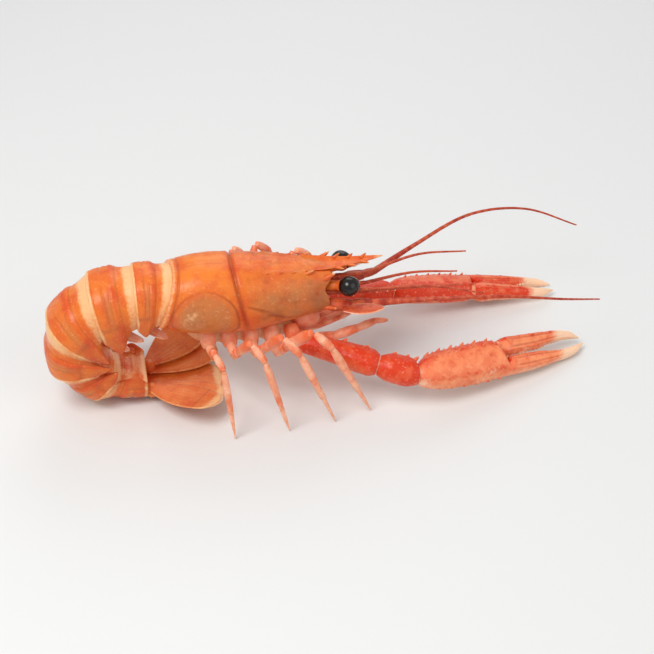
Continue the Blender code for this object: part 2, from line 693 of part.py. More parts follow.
SWIMMERETS = {  # centre behind the joint and below the belly, lean in degrees, half length
    1: (4.5 * MM, 4.6 * MM, 60, 7.0 * MM),
    2: (7.0 * MM, 4.6 * MM, 57, 7.0 * MM),
    3: (7.5 * MM, 6.4 * MM, 16, 6.2 * MM),
}


def swimmeret(number, side, frame):
    """A small paddle under the abdomen, leaning forward."""
    hand = SIDES[side]
    belly = SEGMENTS[number - 1][4]
    shape = bmesh.new()
    bmesh.ops.create_uvsphere(shape, u_segments=8, v_segments=6, radius=1)
    behind, below, lean, half_length = SWIMMERETS[number]
    lean = Matrix.Rotation(-math.radians(lean), 4, "Y")
    lean = lean @ Matrix.Rotation(hand * math.radians(10), 4, "X")
    size = Matrix.Diagonal((1.0 * MM, 3.2 * MM, half_length, 1))
    centre = Matrix.Translation((-behind, hand * 5.6 * MM, -belly - below))
    bmesh.ops.transform(shape, matrix=centre @ lean @ size, verts=shape.verts)
    place(f"swimmeret_{number}_{side}", mesh_of("swimmeret", shape), "leg", frame)


def centre_on_ground():
    """Moves the whole animal so that its bounding box stands centred on the origin."""
    bpy.context.view_layer.update()
    graph = bpy.context.evaluated_depsgraph_get()
    corners = []
    for obj in bpy.data.collections["langoustine"].objects:
        if obj.type == "EMPTY":
            continue
        shown = obj.evaluated_get(graph)
        mesh = shown.to_mesh()
        points = np.empty(len(mesh.vertices) * 3, np.float32)
        mesh.vertices.foreach_get("co", points)
        world = np.array(shown.matrix_world)
        corners.append(points.reshape(-1, 3) @ world[:3, :3].T + world[:3, 3])
        shown.to_mesh_clear()
    corners = np.vstack(corners)
    low, high = corners.min(axis=0), corners.max(axis=0)
    middle = (low + high) / 2
    bpy.data.objects["langoustine"].location = (-middle[0], -middle[1], -low[2])


def main():
    clear_scene()
    collection = bpy.data.collections.new("langoustine")
    bpy.context.scene.collection.children.link(collection)
    collection.objects.link(bpy.data.objects.new("langoustine", None))
    body = Matrix.Translation((0, 0, hinge_height())) @ Matrix.Rotation(BODY_PITCH, 4, "Y")
    frames = curl(body)
    carapace(body)
    underbody(body)
    abdomen(frames)
    for name in FAN_BLADES:
        fan_blade(name, frames[-1])
    for side in SIDES:
        claw(side, body)
        for number in range(len(LEGS)):
            leg(number, side, body)
        maxilliped(side, body)
        eye(side, body)
        antenna(side, body)
        for branch in ANTENNULES:
            antennule(branch, side, body)
        antenna_scale(side, body)
        for number in (1, 2, 3):
            swimmeret(number, side, frames[number - 1])
    centre_on_ground()


main()
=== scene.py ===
"""The looks of a whole raw langoustine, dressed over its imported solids.

Every shape is worked out in millimetres, in the frame of the carapace, of an abdominal segment
or of a claw, as a surface of two parameters, and is turned into metres when its mesh is made.
The animal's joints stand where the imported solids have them.
"""

import itertools
import logging
import math
from dataclasses import dataclass, field, replace
from enum import Enum
from typing import Any

import bpy
import numpy as np
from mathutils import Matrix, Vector


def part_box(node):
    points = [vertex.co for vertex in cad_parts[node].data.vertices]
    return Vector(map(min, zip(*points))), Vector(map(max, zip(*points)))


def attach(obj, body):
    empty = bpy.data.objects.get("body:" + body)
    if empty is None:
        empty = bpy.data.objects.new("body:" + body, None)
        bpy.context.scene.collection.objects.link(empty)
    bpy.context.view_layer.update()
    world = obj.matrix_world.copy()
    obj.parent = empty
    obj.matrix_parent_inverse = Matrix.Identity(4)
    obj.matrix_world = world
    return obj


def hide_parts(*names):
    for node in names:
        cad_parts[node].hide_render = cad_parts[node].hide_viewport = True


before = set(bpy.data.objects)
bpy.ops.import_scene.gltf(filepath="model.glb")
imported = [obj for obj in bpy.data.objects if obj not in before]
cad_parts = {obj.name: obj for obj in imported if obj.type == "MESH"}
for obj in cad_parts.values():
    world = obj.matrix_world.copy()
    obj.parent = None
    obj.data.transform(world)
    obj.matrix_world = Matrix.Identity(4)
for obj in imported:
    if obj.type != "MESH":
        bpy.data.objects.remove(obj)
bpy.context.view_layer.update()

Array = np.ndarray
Table = tuple[tuple[float, ...], ...]  # rows of numbers
MM = 0.001  # metres in a millimetre
SEAM = 0.4  # mm, the clearance between two shells at a joint
MASKS = ("pale", "flush", "olive", "shade")
LOG = logging.getLogger("langoustine")
UP = np.array([0.0, 0.0, 1.0])
LEG_UP = np.array([1.0, 0.0, 0.12])  # a direction that no leg runs along


class Side(Enum):
    """The animal's two sides, with the sign of Y on each."""

    RIGHT = -1
    LEFT = 1

    @property
    def word(self) -> str:
        """The side as it is written in the names of pieces."""
        return self.name.lower()


# ---- numbers ------------------------------------------------------------------------------
def through(stations: Array, values: Array, at: Array) -> Array:
    """Read a smooth curve through (station, value) pairs at the given places.

    Formula: cubic Hermite pieces whose slopes are the pairs' central differences.

    Args:
        stations: Rising places where the curve is known.
        values: The curve's values there.
        at: The places to read, of any shape.

    Returns:
        The curve's values, in the shape of at.
    """
    stations, values = np.asarray(stations, float), np.asarray(values, float)
    slope = np.gradient(values, stations)
    at = np.clip(at, stations[0], stations[-1])
    k = np.clip(np.searchsorted(stations, at, side="right") - 1, 0, len(stations) - 2)
    span = stations[k + 1] - stations[k]
    t = (at - stations[k]) / span
    ends = values[k] * (1 + 2 * t) * (1 - t) ** 2 + values[k + 1] * t**2 * (3 - 2 * t)
    return ends + span * (slope[k] * t * (1 - t) ** 2 - slope[k + 1] * t**2 * (1 - t))


def rise(low: float, high: float, at: Array) -> Array:
    """Go smoothly from 0 at low to 1 at high: 3t² - 2t³ of the share t between them."""
    t = np.clip((np.asarray(at, float) - low) / (high - low), 0, 1)
    return t * t * (3 - 2 * t)


def bell(at: Array, centre: float | Array, width: float | Array) -> Array:
    """A smooth bump of height 1: e to the minus square of the distance over the width."""
    return np.exp(-(((at - centre) / width) ** 2))


def power(base: Array, exponent: float | Array) -> Array:
    """Raise the size of a number to a power and keep its sign."""
    return np.sign(base) * np.abs(base) ** exponent


def around(count: int) -> tuple[Array, Array, Array]:
    """Go once round in even steps.

    Args:
        count: How many steps.

    Returns:
        A row of angles in radians, with their cosines and their sines.
    """
    angle = np.linspace(0, 2 * np.pi, count, endpoint=False)[None]
    return angle, np.cos(angle), np.sin(angle)


def unevenness(points: Array, size: float, seed: int) -> Array:
    """Smooth random lumps in space, from -1 to 1.

    Formula: each corner of a cubic lattice gets the fraction of a large sine of its whole
    coordinates, and a point blends its eight corners by 3t² - 2t³ along each axis. A second
    lattice, half as coarse and turned against the first, hides the first one's rows.

    Args:
        points: Places in mm, with the coordinates along the last axis.
        size: The lattice's spacing in mm.
        seed: Chooses another set of lumps.

    Returns:
        One value a point.
    """
    total = np.zeros(points.shape[:-1])
    for turn, spacing, share_of_all in ((31.0, size, 0.68), (118.0, 0.53 * size, 0.32)):
        cell = placed(points, turned("x", turn) @ turned("z", 1.7 * turn)) / spacing
        base = np.floor(cell)
        share = rise(0, 1, cell - base)
        for corner in itertools.product((0, 1), repeat=3):
            weight = share_of_all * np.prod(np.where(corner, share, 1 - share), axis=-1)
            mixed = np.sin((base + corner) @ np.array([127.1, 311.7, 74.7]) + 17.0 * seed) * 43758.5
            total += weight * (2 * (mixed - np.floor(mixed)) - 1)
    return 1.2 * total


def shifted(x: float, y: float, z: float) -> Array:
    """The matrix of a move.

    Args:
        x: How far along X.
        y: How far along Y.
        z: How far along Z.

    Returns:
        A 4 by 4 matrix.
    """
    matrix = np.eye(4)
    matrix[:3, 3] = (x, y, z)
    return matrix


def turned(axis: str, degrees: float) -> Array:
    """The matrix of a turn about one axis, by the right-hand rule.

    Args:
        axis: x, y or z.
        degrees: How far to turn.

    Returns:
        A 4 by 4 matrix.
    """
    i, j = {"x": (1, 2), "y": (2, 0), "z": (0, 1)}[axis]
    angle = math.radians(degrees)
    matrix = np.eye(4)
    matrix[i, i] = matrix[j, j] = math.cos(angle)
    matrix[j, i], matrix[i, j] = math.sin(angle), -math.sin(angle)
    return matrix


def placed(points: Array, matrix: Array) -> Array:
    """Carry points by a 4 by 4 matrix."""
    return np.asarray(points, float) @ matrix[:3, :3].T + matrix[:3, 3]


def unit(vectors: Array) -> Array:
    """Scale vectors along the last axis to length 1."""
    vectors = np.asarray(vectors, float)
    return vectors / np.maximum(np.linalg.norm(vectors, axis=-1, keepdims=True), 1e-12)


def smooth_route(points: Array, count: int) -> Array:
    """Spread points evenly along a smooth curve through the given ones.

    Args:
        points: The route's own points in mm.
        count: How many points to return.

    Returns:
        A (count, 3) array.
    """
    points = np.asarray(points, float)
    along = np.concatenate([[0], np.cumsum(np.linalg.norm(np.diff(points, axis=0), axis=1))])
    at = np.linspace(0, along[-1], count)
    return np.column_stack([through(along, points[:, k], at) for k in range(3)])


# ---- surfaces -----------------------------------------------------------------------------
@dataclass
class Skin:
    """A closed surface in mm: its points, its faces and a mask of each kind for a point."""

    points: Array
    quads: Array
    triangles: Array
    masks: dict[str, Array] = field(default_factory=dict)

    def carried(self, matrix: Array) -> "Skin":
        """The same skin, moved by a 4 by 4 matrix."""
        return replace(self, points=placed(self.points, matrix))

    def masked(self, **levels: float | Array) -> "Skin":
        """The same skin, with these masks set."""
        return replace(self, masks={**self.masks, **levels})

    def outward(self) -> "Skin":
        """Point the faces out.

        Formula: the signed volume is the sum over triangles of a corner times the cross
        product of the other two. It is below 0 when the faces point in.

        Returns:
            The same skin, with its faces flipped if its signed volume is below 0.
        """
        corners = [self.points[self.quads[:, [0, 1, 2]]], self.points[self.quads[:, [0, 2, 3]]]]
        fans = np.concatenate([*corners, self.points[self.triangles]])
        volume = np.einsum("ij,ij->i", fans[:, 0], np.cross(fans[:, 1], fans[:, 2])).sum()
        if volume >= 0:
            return self
        return replace(self, quads=self.quads[:, ::-1], triangles=self.triangles[:, ::-1])


def tube_faces(rows: int, columns: int) -> tuple[Array, Array]:
    """Close a tube of rings, whose two poles come after its last ring.

    Args:
        rows: How many rings.
        columns: Points in a ring.

    Returns:
        The four-sided faces between the rings, and the triangles to the poles.
    """
    index = np.arange(rows * columns).reshape(rows, columns)
    beside = np.roll(index, -1, axis=1)
    quads = np.stack([index[:-1], beside[:-1], beside[1:], index[1:]], axis=-1).reshape(-1, 4)
    start = np.column_stack([beside[0], index[0], np.full(columns, rows * columns)])
    end = np.column_stack([index[-1], beside[-1], np.full(columns, rows * columns + 1)])
    return quads, np.vstack([start, end])


def skinned(rings: Array, **masks: float | Array) -> Skin:
    """Close a grid of rings into a skin, with a pole at the middle of each end ring.

    Args:
        rings: A (rows, columns, 3) array. Each row is a closed ring.
        masks: Levels for the whole skin, or (rows, columns) arrays of them.

    Returns:
        The skin, facing outwards.
    """
    rows, columns = rings.shape[:2]
    points = np.vstack([rings.reshape(-1, 3), rings[0].mean(axis=0), rings[-1].mean(axis=0)])
    levels = {}
    for name, mask in masks.items():
        grid = np.broadcast_to(np.asarray(mask, float), (rows, columns))
        levels[name] = np.concatenate([grid.ravel(), [grid[0].mean(), grid[-1].mean()]])
    return Skin(points, *tube_faces(rows, columns), levels).outward()


def carry(route: Array, radii: Array, up: Array, flatness: float = 1.0, sides: int = 16) -> Array:
    """Carry an oval along a route.

    Formula: at each point the ring's plane is square to the route; its first axis is across
    both the route and up, its second is across those two and is shortened by flatness.

    Args:
        route: (rows, 3) points.
        radii: One radius a point.
        up: A direction that the route never runs along.
        flatness: The second axis over the first.
        sides: Points in a ring.

    Returns:
        A (rows, sides, 3) grid.
    """
    route = np.asarray(route, float)
    tangent = unit(np.gradient(route, axis=0))
    across = unit(np.cross(np.asarray(up, float), tangent))
    lift = np.cross(tangent, across)
    _, c, s = around(sides)
    oval = c[..., None] * across[:, None]
    oval = oval + flatness * s[..., None] * lift[:, None]
    return route[:, None] + np.asarray(radii, float)[:, None, None] * oval


def cones(feet: Array, tips: Array, radii: Array, sides: int = 7, blunt: float = 0.5) -> Skin:
    """Make many spines, teeth or bristles at once, each a closed cone.

    Formula: a ring's radius falls from the foot's by (1 - t) to the power blunt, along t from
    foot to tip.

    Args:
        feet: (n, 3) middles of the feet.
        tips: (n, 3) tips.
        radii: (n,) radii of the feet.
        sides: Points in a ring.
        blunt: 1 for a straight cone, less for a rounded one.

    Returns:
        One skin that holds them all.
    """
    feet, tips = np.atleast_2d(feet).astype(float), np.atleast_2d(tips).astype(float)
    radii = np.broadcast_to(np.asarray(radii, float), len(feet))
    axis = unit(tips - feet)
    helper = np.where(np.abs(axis[:, 2:3]) < 0.9, UP, [[1.0, 0.0, 0.0]])
    across = unit(np.cross(helper, axis))
    lift = np.cross(axis, across)
    share = np.array([0.0, 0.4, 0.8]) if sides > 4 else np.array([0.0, 0.6])
    _, c, s = around(sides)
    spread = ((1 - share) ** blunt)[None, :, None, None] * radii[:, None, None, None]
    oval = c[None, ..., None] * across[:, None, None]
    oval = oval + s[None, ..., None] * lift[:, None, None]
    centre = feet[:, None] + share[None, :, None] * (tips - feet)[:, None]
    rings = centre[:, :, None] + spread * oval
    count, rows = len(feet), len(share)
    quads, triangles = tube_faces(rows, sides)
    offset = (np.arange(count) * (rows * sides + 2))[:, None, None]
    points = np.concatenate([rings.reshape(count, -1, 3), feet[:, None], tips[:, None]], axis=1)
    level = np.concatenate([np.repeat(share, sides), [0.0, 1.0]])
    return Skin(
        points.reshape(-1, 3),
        (quads + offset).reshape(-1, 4),
        (triangles + offset).reshape(-1, 3),
        {"pale": np.tile(0.8 * level**4, count)},
    ).outward()


def ball(centre: Array, radii: Array, rows: int = 24, columns: int = 32) -> Skin:
    """Make a sphere stretched to three radii, with its poles on X.

    Formula: x is the cosine of the latitude; y and z are its sine times the cosine and
    the sine of the longitude.

    Args:
        centre: Its middle.
        radii: Its radii along X, Y and Z.
        rows: Rings from pole to pole.
        columns: Points in a ring.

    Returns:
        The skin.
    """
    latitude = np.linspace(0.04, np.pi - 0.04, rows)[:, None]  # the poles close the rest
    _, c, s = around(columns)
    x = np.cos(latitude) + 0 * c
    y, z = np.sin(latitude) * c, np.sin(latitude) * s
    return skinned(np.stack([x, y, z], axis=-1) * np.asarray(radii) + np.asarray(centre))


def joined(skins: list[Skin]) -> Skin:
    """Put several skins in one.

    Args:
        skins: The skins.

    Returns:
        One skin with every mask, which is 0 where a skin lacks it.
    """
    starts = np.cumsum([0] + [len(skin.points) for skin in skins[:-1]])
    return Skin(
        np.vstack([skin.points for skin in skins]),
        np.vstack([skin.quads + start for skin, start in zip(skins, starts)]),
        np.vstack([skin.triangles + start for skin, start in zip(skins, starts)]),
        {
            name: np.concatenate(
                [np.broadcast_to(skin.masks.get(name, 0.0), len(skin.points)) for skin in skins]
            )
            for name in MASKS
        },
    )


def make_piece(
    name: str,
    skins: list[Skin],
    finish: "Finish",
    nodes: tuple[str, ...] = (),
    crease: float = 55.0,
) -> bpy.types.Object:
    """Make one visible piece, in metres, and hide the solids it stands for.

    Args:
        name: The piece's name.
        skins: The surfaces it is made of, in world millimetres.
        finish: Its finish, whose material the piece wears.
        nodes: The solids it replaces.
        crease: Edges that turn by more than this many degrees stay sharp.

    Returns:
        The new object, at the origin.
    """
    skin = joined(skins)
    mesh = bpy.data.meshes.new(name)
    mesh.vertices.add(len(skin.points))
    mesh.vertices.foreach_set("co", (skin.points * MM).astype(np.float32).ravel())
    mesh.loops.add(skin.quads.size + skin.triangles.size)
    corners = np.concatenate([skin.quads.ravel(), skin.triangles.ravel()])
    mesh.loops.foreach_set("vertex_index", corners.astype(np.int32))
    sizes = np.concatenate([np.full(len(skin.quads), 4), np.full(len(skin.triangles), 3)])
    mesh.polygons.add(len(sizes))
    starts = np.concatenate([[0], np.cumsum(sizes)[:-1]])
    mesh.polygons.foreach_set("loop_start", starts.astype(np.int32))
    mesh.update(calc_edges=True)
    mesh.validate()
    for mask in MASKS:
        level = mesh.attributes.new(mask, "FLOAT", "POINT")
        level.data.foreach_set("value", np.clip(skin.masks[mask], 0, 1).astype(np.float32))
    mesh.shade_smooth()
    mesh.set_sharp_from_angle(angle=math.radians(crease))
    mesh.materials.append(finish.material)
    piece = bpy.data.objects.new(name, mesh)
    bpy.context.scene.collection.objects.link(piece)
    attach(piece, "root")
    if nodes:
        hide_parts(*nodes)
    LOG.info("%s: %d faces", name, len(mesh.polygons))
    return piece


# ---- finishes -----------------------------------------------------------------------------
def linear(code: str) -> tuple[float, float, float, float]:
    """Turn a screen colour into the linear one that shaders use.

    Formula: a share up to 0.04045 is divided by 12.92; above, 0.055 is added, the sum is
    divided by 1.055, and the result is raised to the power 2.4.

    Args:
        code: The sRGB colour as six hex digits.

    Returns:
        Red, green, blue and an alpha of 1.
    """
    shares = (int(code[k : k + 2], 16) / 255 for k in (0, 2, 4))
    red, green, blue = (c / 12.92 if c <= 0.04045 else ((c + 0.055) / 1.055) ** 2.4 for c in shares)
    return (red, green, blue, 1.0)


def add_node(
    tree: bpy.types.NodeTree, kind: str, settings: dict[str, Any], inputs: dict[int | str, Any]
) -> bpy.types.Node:
    """Add a shader node.

    Args:
        tree: The material's node tree.
        kind: The node's class.
        settings: Values of the node's own properties.
        inputs: For each input, a value, or another node's output to link.

    Returns:
        The node.
    """
    node = tree.nodes.new(kind)
    for name, value in settings.items():
        setattr(node, name, value)
    for key, value in inputs.items():
        if isinstance(value, bpy.types.NodeSocket):
            tree.links.new(value, node.inputs[key])
        else:
            node.inputs[key].default_value = value
    return node


@dataclass(frozen=True)
class Cuticle:
    """Raw crustacean cuticle: chitin hardened with chalk, glossy because it is wet.

    The pigment lies in clouds under a clear skin, so the colour wanders softly over a few
    millimetres, pales at margins and joints, and shows fine pale specks and pits.
    """

    name: str
    plain: str  # the ground colour
    deep: str  # where the pigment is thick
    pale: str  # margins and joints
    olive: str = "bf7642"  # where the gills show through
    dark: str = "7d2c0c"  # painted shade in grooves, hollows and on shadowed flanks; also real dark blotches
    cloud: float = 7.0  # mm across a cloud of pigment
    mottling: float = 0.5  # how much the clouds deepen the colour
    speck: float = 1.1  # mm between pale specks
    grain: float = 0.75  # mm between pits
    pit_depth: float = 0.05  # mm
    granule: float = 1.6  # mm between low granules
    granule_height: float = 0.20  # mm
    roughness: tuple[float, float] = (0.30, 0.54)
    wetness: float = 0.20  # weight of the clear coat
    glow: float = 0.10  # weight of the light that passes under the skin
    clouding: tuple[float, float] = (0.40, 0.66)  # noise, from plain to deep pigment
    flecking: tuple[float, float] = (0.56, 0.74)  # noise, from none to a pale speck
    fading: tuple[float, float] = (0.45, 0.95)  # ragged mask, from plain to pale margin
    fleck_strength: float = 0.30
    ior: float = 1.46  # of wet chitin
    coat_ior: float = 1.33  # of water

    def build(self) -> bpy.types.Material:
        """Make the material.

        Returns:
            A procedural material that reads Object coordinates and the four masks.
        """
        material = bpy.data.materials.new(self.name)
        material.use_nodes = True
        tree = material.node_tree
        shader = tree.nodes["Principled BSDF"]
        place = add_node(tree, "ShaderNodeTexCoord", {}, {}).outputs["Object"]
        mask = {
            name: add_node(tree, "ShaderNodeAttribute", {"attribute_name": name}, {}).outputs["Fac"]
            for name in MASKS
        }
        noise = {"Vector": place, "Roughness": 0.55}
        cloud, speck, granules = (
            add_node(
                tree, "ShaderNodeTexNoise", {}, {**noise, "Scale": 1 / (size * MM), "Detail": detail}
            ).outputs[0]
            for size, detail in ((self.cloud, 5.0), (self.speck, 3.0), (self.granule, 2.0))
        )
        add = {"operation": "MULTIPLY_ADD"}
        ragged = add_node(tree, "ShaderNodeMath", add, {0: speck, 1: 0.5, 2: mask["pale"]}).outputs[0]
        soft = {"interpolation_type": "SMOOTHSTEP"}
        ranges = ((cloud, self.clouding), (speck, self.flecking), (ragged, self.fading))
        pigment, fleck, paleness = (
            add_node(tree, "ShaderNodeMapRange", soft, {0: value, 1: low, 2: high}).outputs[0]
            for value, (low, high) in ranges
        )
        inputs = {0: pigment, 1: self.mottling, 2: mask["flush"]}
        deepness = add_node(tree, "ShaderNodeMath", {**add, "use_clamp": True}, inputs).outputs[0]
        inputs = {0: fleck, 1: self.fleck_strength}
        faint = add_node(tree, "ShaderNodeMath", {"operation": "MULTIPLY"}, inputs).outputs[0]
        colour = linear(self.plain)
        for share, code in (
            (deepness, self.deep),
            (mask["olive"], self.olive),
            (paleness, self.pale),
            (faint, self.pale),
            # painted shade, and real dark blotches, mixed in by the shade mask
            (mask["shade"], self.dark),
        ):
            layer = {0: share, 6: colour, 7: linear(code)}
            colour = add_node(tree, "ShaderNodeMix", {"data_type": "RGBA"}, layer).outputs[2]
        tree.links.new(colour, shader.inputs["Base Color"])

        low, high = self.roughness
        gloss = add_node(tree, "ShaderNodeMapRange", {}, {0: cloud, 1: 0.3, 2: 0.7, 3: low, 4: high})
        tree.links.new(gloss.outputs[0], shader.inputs["Roughness"])
        inputs = {"Vector": place, "Scale": 1 / (self.grain * MM), "Smoothness": 0.6}
        pits = add_node(tree, "ShaderNodeTexVoronoi", {"feature": "SMOOTH_F1"}, inputs)
        inputs = {"Strength": 0.6, "Distance": self.granule_height * MM, "Height": granules}
        low_relief = add_node(tree, "ShaderNodeBump", {}, inputs).outputs[0]
        inputs = {
            "Strength": 0.7,
            "Distance": self.pit_depth * MM,
            "Height": pits.outputs["Distance"],
            "Normal": low_relief,
        }
        bump = add_node(tree, "ShaderNodeBump", {}, inputs)
        tree.links.new(bump.outputs[0], shader.inputs["Normal"])
        shader.inputs["IOR"].default_value = self.ior
        shader.inputs["Specular IOR Level"].default_value = 0.36
        shader.inputs["Subsurface Weight"].default_value = self.glow
        shader.inputs["Subsurface Radius"].default_value = (3.0, 1.0, 0.5)
        shader.inputs["Subsurface Scale"].default_value = 1.0 * MM
        shader.inputs["Coat Weight"].default_value = self.wetness
        shader.inputs["Coat Roughness"].default_value = 0.14
        shader.inputs["Coat IOR"].default_value = self.coat_ior
        return material


@dataclass(frozen=True)
class Cornea:
    """The wet cornea over a compound eye: black pigment under thousands of tiny facets."""

    name: str = "compound eye cornea"
    pigment: str = "0c0908"
    glint: str = "1c0f0a"
    facet: float = 0.35  # mm; the real 0.05 mm facets are drawn coarser so that they show

    def build(self) -> bpy.types.Material:
        """Make the material: near black, with a painted glint a touch browner at facet edges, and a
        sharp gloss.

        Returns:
            A procedural material that reads Object coordinates.
        """
        material = bpy.data.materials.new(self.name)
        material.use_nodes = True
        tree = material.node_tree
        shader = tree.nodes["Principled BSDF"]
        place = add_node(tree, "ShaderNodeTexCoord", {}, {}).outputs["Object"]
        inputs = {"Vector": place, "Scale": 1 / (self.facet * MM)}
        facets = add_node(tree, "ShaderNodeTexVoronoi", {}, inputs).outputs["Distance"]
        share = add_node(tree, "ShaderNodeMapRange", {}, {0: facets, 1: 0.3, 2: 0.9}).outputs[0]
        inputs = {0: share, 6: linear(self.pigment), 7: linear(self.glint)}
        colour = add_node(tree, "ShaderNodeMix", {"data_type": "RGBA"}, inputs).outputs[2]
        tree.links.new(colour, shader.inputs["Base Color"])
        inputs = {"Strength": 0.25, "Distance": 0.02 * MM, "Height": facets}
        bump = add_node(tree, "ShaderNodeBump", {}, inputs)
        tree.links.new(bump.outputs[0], shader.inputs["Normal"])
        shader.inputs["Roughness"].default_value = 0.20
        shader.inputs["IOR"].default_value = 1.5
        return material


@dataclass(frozen=True)
class Finish:
    """A material, and the name of a material slot."""

    material: bpy.types.Material
    slot: str


@dataclass(frozen=True)
class Finishes:
    """The finishes of the whole animal."""

    shell: Finish
    belly: Finish
    claw: Finish
    leg: Finish
    fan: Finish
    feeler: Finish
    bristle: Finish
    eye: Finish

    @classmethod
    def mixed_up(cls) -> "Finishes":
        """Make every finish once.

        Returns:
            The finishes.
        """
        reds = {"plain": "fa9462", "deep": "da380c", "pale": "fcceaa", "dark": "7c1c0c"}
        claw = Cuticle("claw cuticle", **reds, cloud=5.0, mottling=0.34)
        looks = {
            "shell": (Cuticle("body cuticle", "ea7e28", "d8521c", "f4ba82"), "shell"),
            "belly": (Cuticle("belly cuticle", "eeae7c", "e39058", "f6d6b0", glow=0.2), "belly"),
            "claw": (claw, "claw"),
            "leg": (Cuticle("leg cuticle", "fdb894", "ea7244", "ffe4cc", cloud=4.0, glow=0.16), "leg"),
            "fan": (Cuticle("tail fan cuticle", "ea8636", "d65e22", "f4c086", glow=0.15), "tail_fan"),
            "feeler": (Cuticle("feeler cuticle", "da6236", "a22c14", "f0a884", cloud=4.0), "feeler"),
            "bristle": (
                Cuticle("bristle chitin", "d9a070", "c98a5c", "eccaa0", pit_depth=0.01),
                "tail_fan",
            ),
            "eye": (Cornea(), "eye"),
        }
        return cls(**{name: Finish(look.build(), slot) for name, (look, slot) in looks.items()})


# ---- posture ------------------------------------------------------------------------------
@dataclass(frozen=True)
class Segment:
    """One abdominal segment, in mm, and its turn in degrees against the one before."""

    length: float
    turn: float
    width: float
    top: float
    belly: float
    lobe: float


@dataclass(frozen=True)
class Posture:
    """How the trunk is held: head a little low, the abdomen curled under the body."""

    pitch: float = 4.5
    tail_turn: float = 3.0
    segments: tuple[Segment, ...] = (
        Segment(11, 4, 14.2, 14.0, 9.5, 10.5),
        Segment(16, 12, 15.6, 15.0, 9.5, 15.0),
        Segment(15.5, 36, 15.3, 14.5, 9.0, 14.5),
        Segment(15, 46, 14.6, 13.4, 8.5, 13.5),
        Segment(14, 44, 13.6, 12.0, 7.5, 11.5),
        Segment(17, 38, 12.2, 9.6, 6.5, 6.4),
    )

    def body(self, breastplate: Array) -> Array:
        """The carapace's frame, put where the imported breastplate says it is.

        Args:
            breastplate: The breastplate's corners in the carapace's frame.

        Returns:
            A 4 by 4 matrix from the carapace's frame to the world, in mm.
        """
        turn = turned("y", self.pitch)
        own = placed(breastplate, turn)
        low, high = (np.array(corner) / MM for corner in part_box("breastplate"))
        hinge = low - own.min(axis=0)
        return shifted(hinge[0], (low[1] + high[1]) / 2, hinge[2]) @ turn

    def chain(self, body: Array) -> list[Array]:
        """The frames of the six segments and of the fan, each hinged to the one before.

        Args:
            body: The carapace's frame.

        Returns:
            Seven 4 by 4 matrices to the world, in mm.
        """
        frames, here = [], body
        for segment in self.segments:
            here = here @ turned("y", -segment.turn)
            frames.append(here)
            here = here @ shifted(-segment.length, 0, 0)
        return [*frames, here @ turned("y", -self.tail_turn)]


@dataclass(frozen=True)
class Assembly:
    """A part of the animal, with the finishes it wears and the carapace's frame in the world."""

    finishes: Finishes
    body: Array

    @property
    def ground(self) -> Array:
        """The point of the floor under the origin of the carapace's frame."""
        return np.array([self.body[0, 3], self.body[1, 3], 0.0])

    def dress(self, node: str, skins: list[Skin], finish: Finish, form: str = "shell") -> None:
        """Make the piece that stands for one solid."""
        make_piece(f"{node}_{form}", skins, finish, (node,))


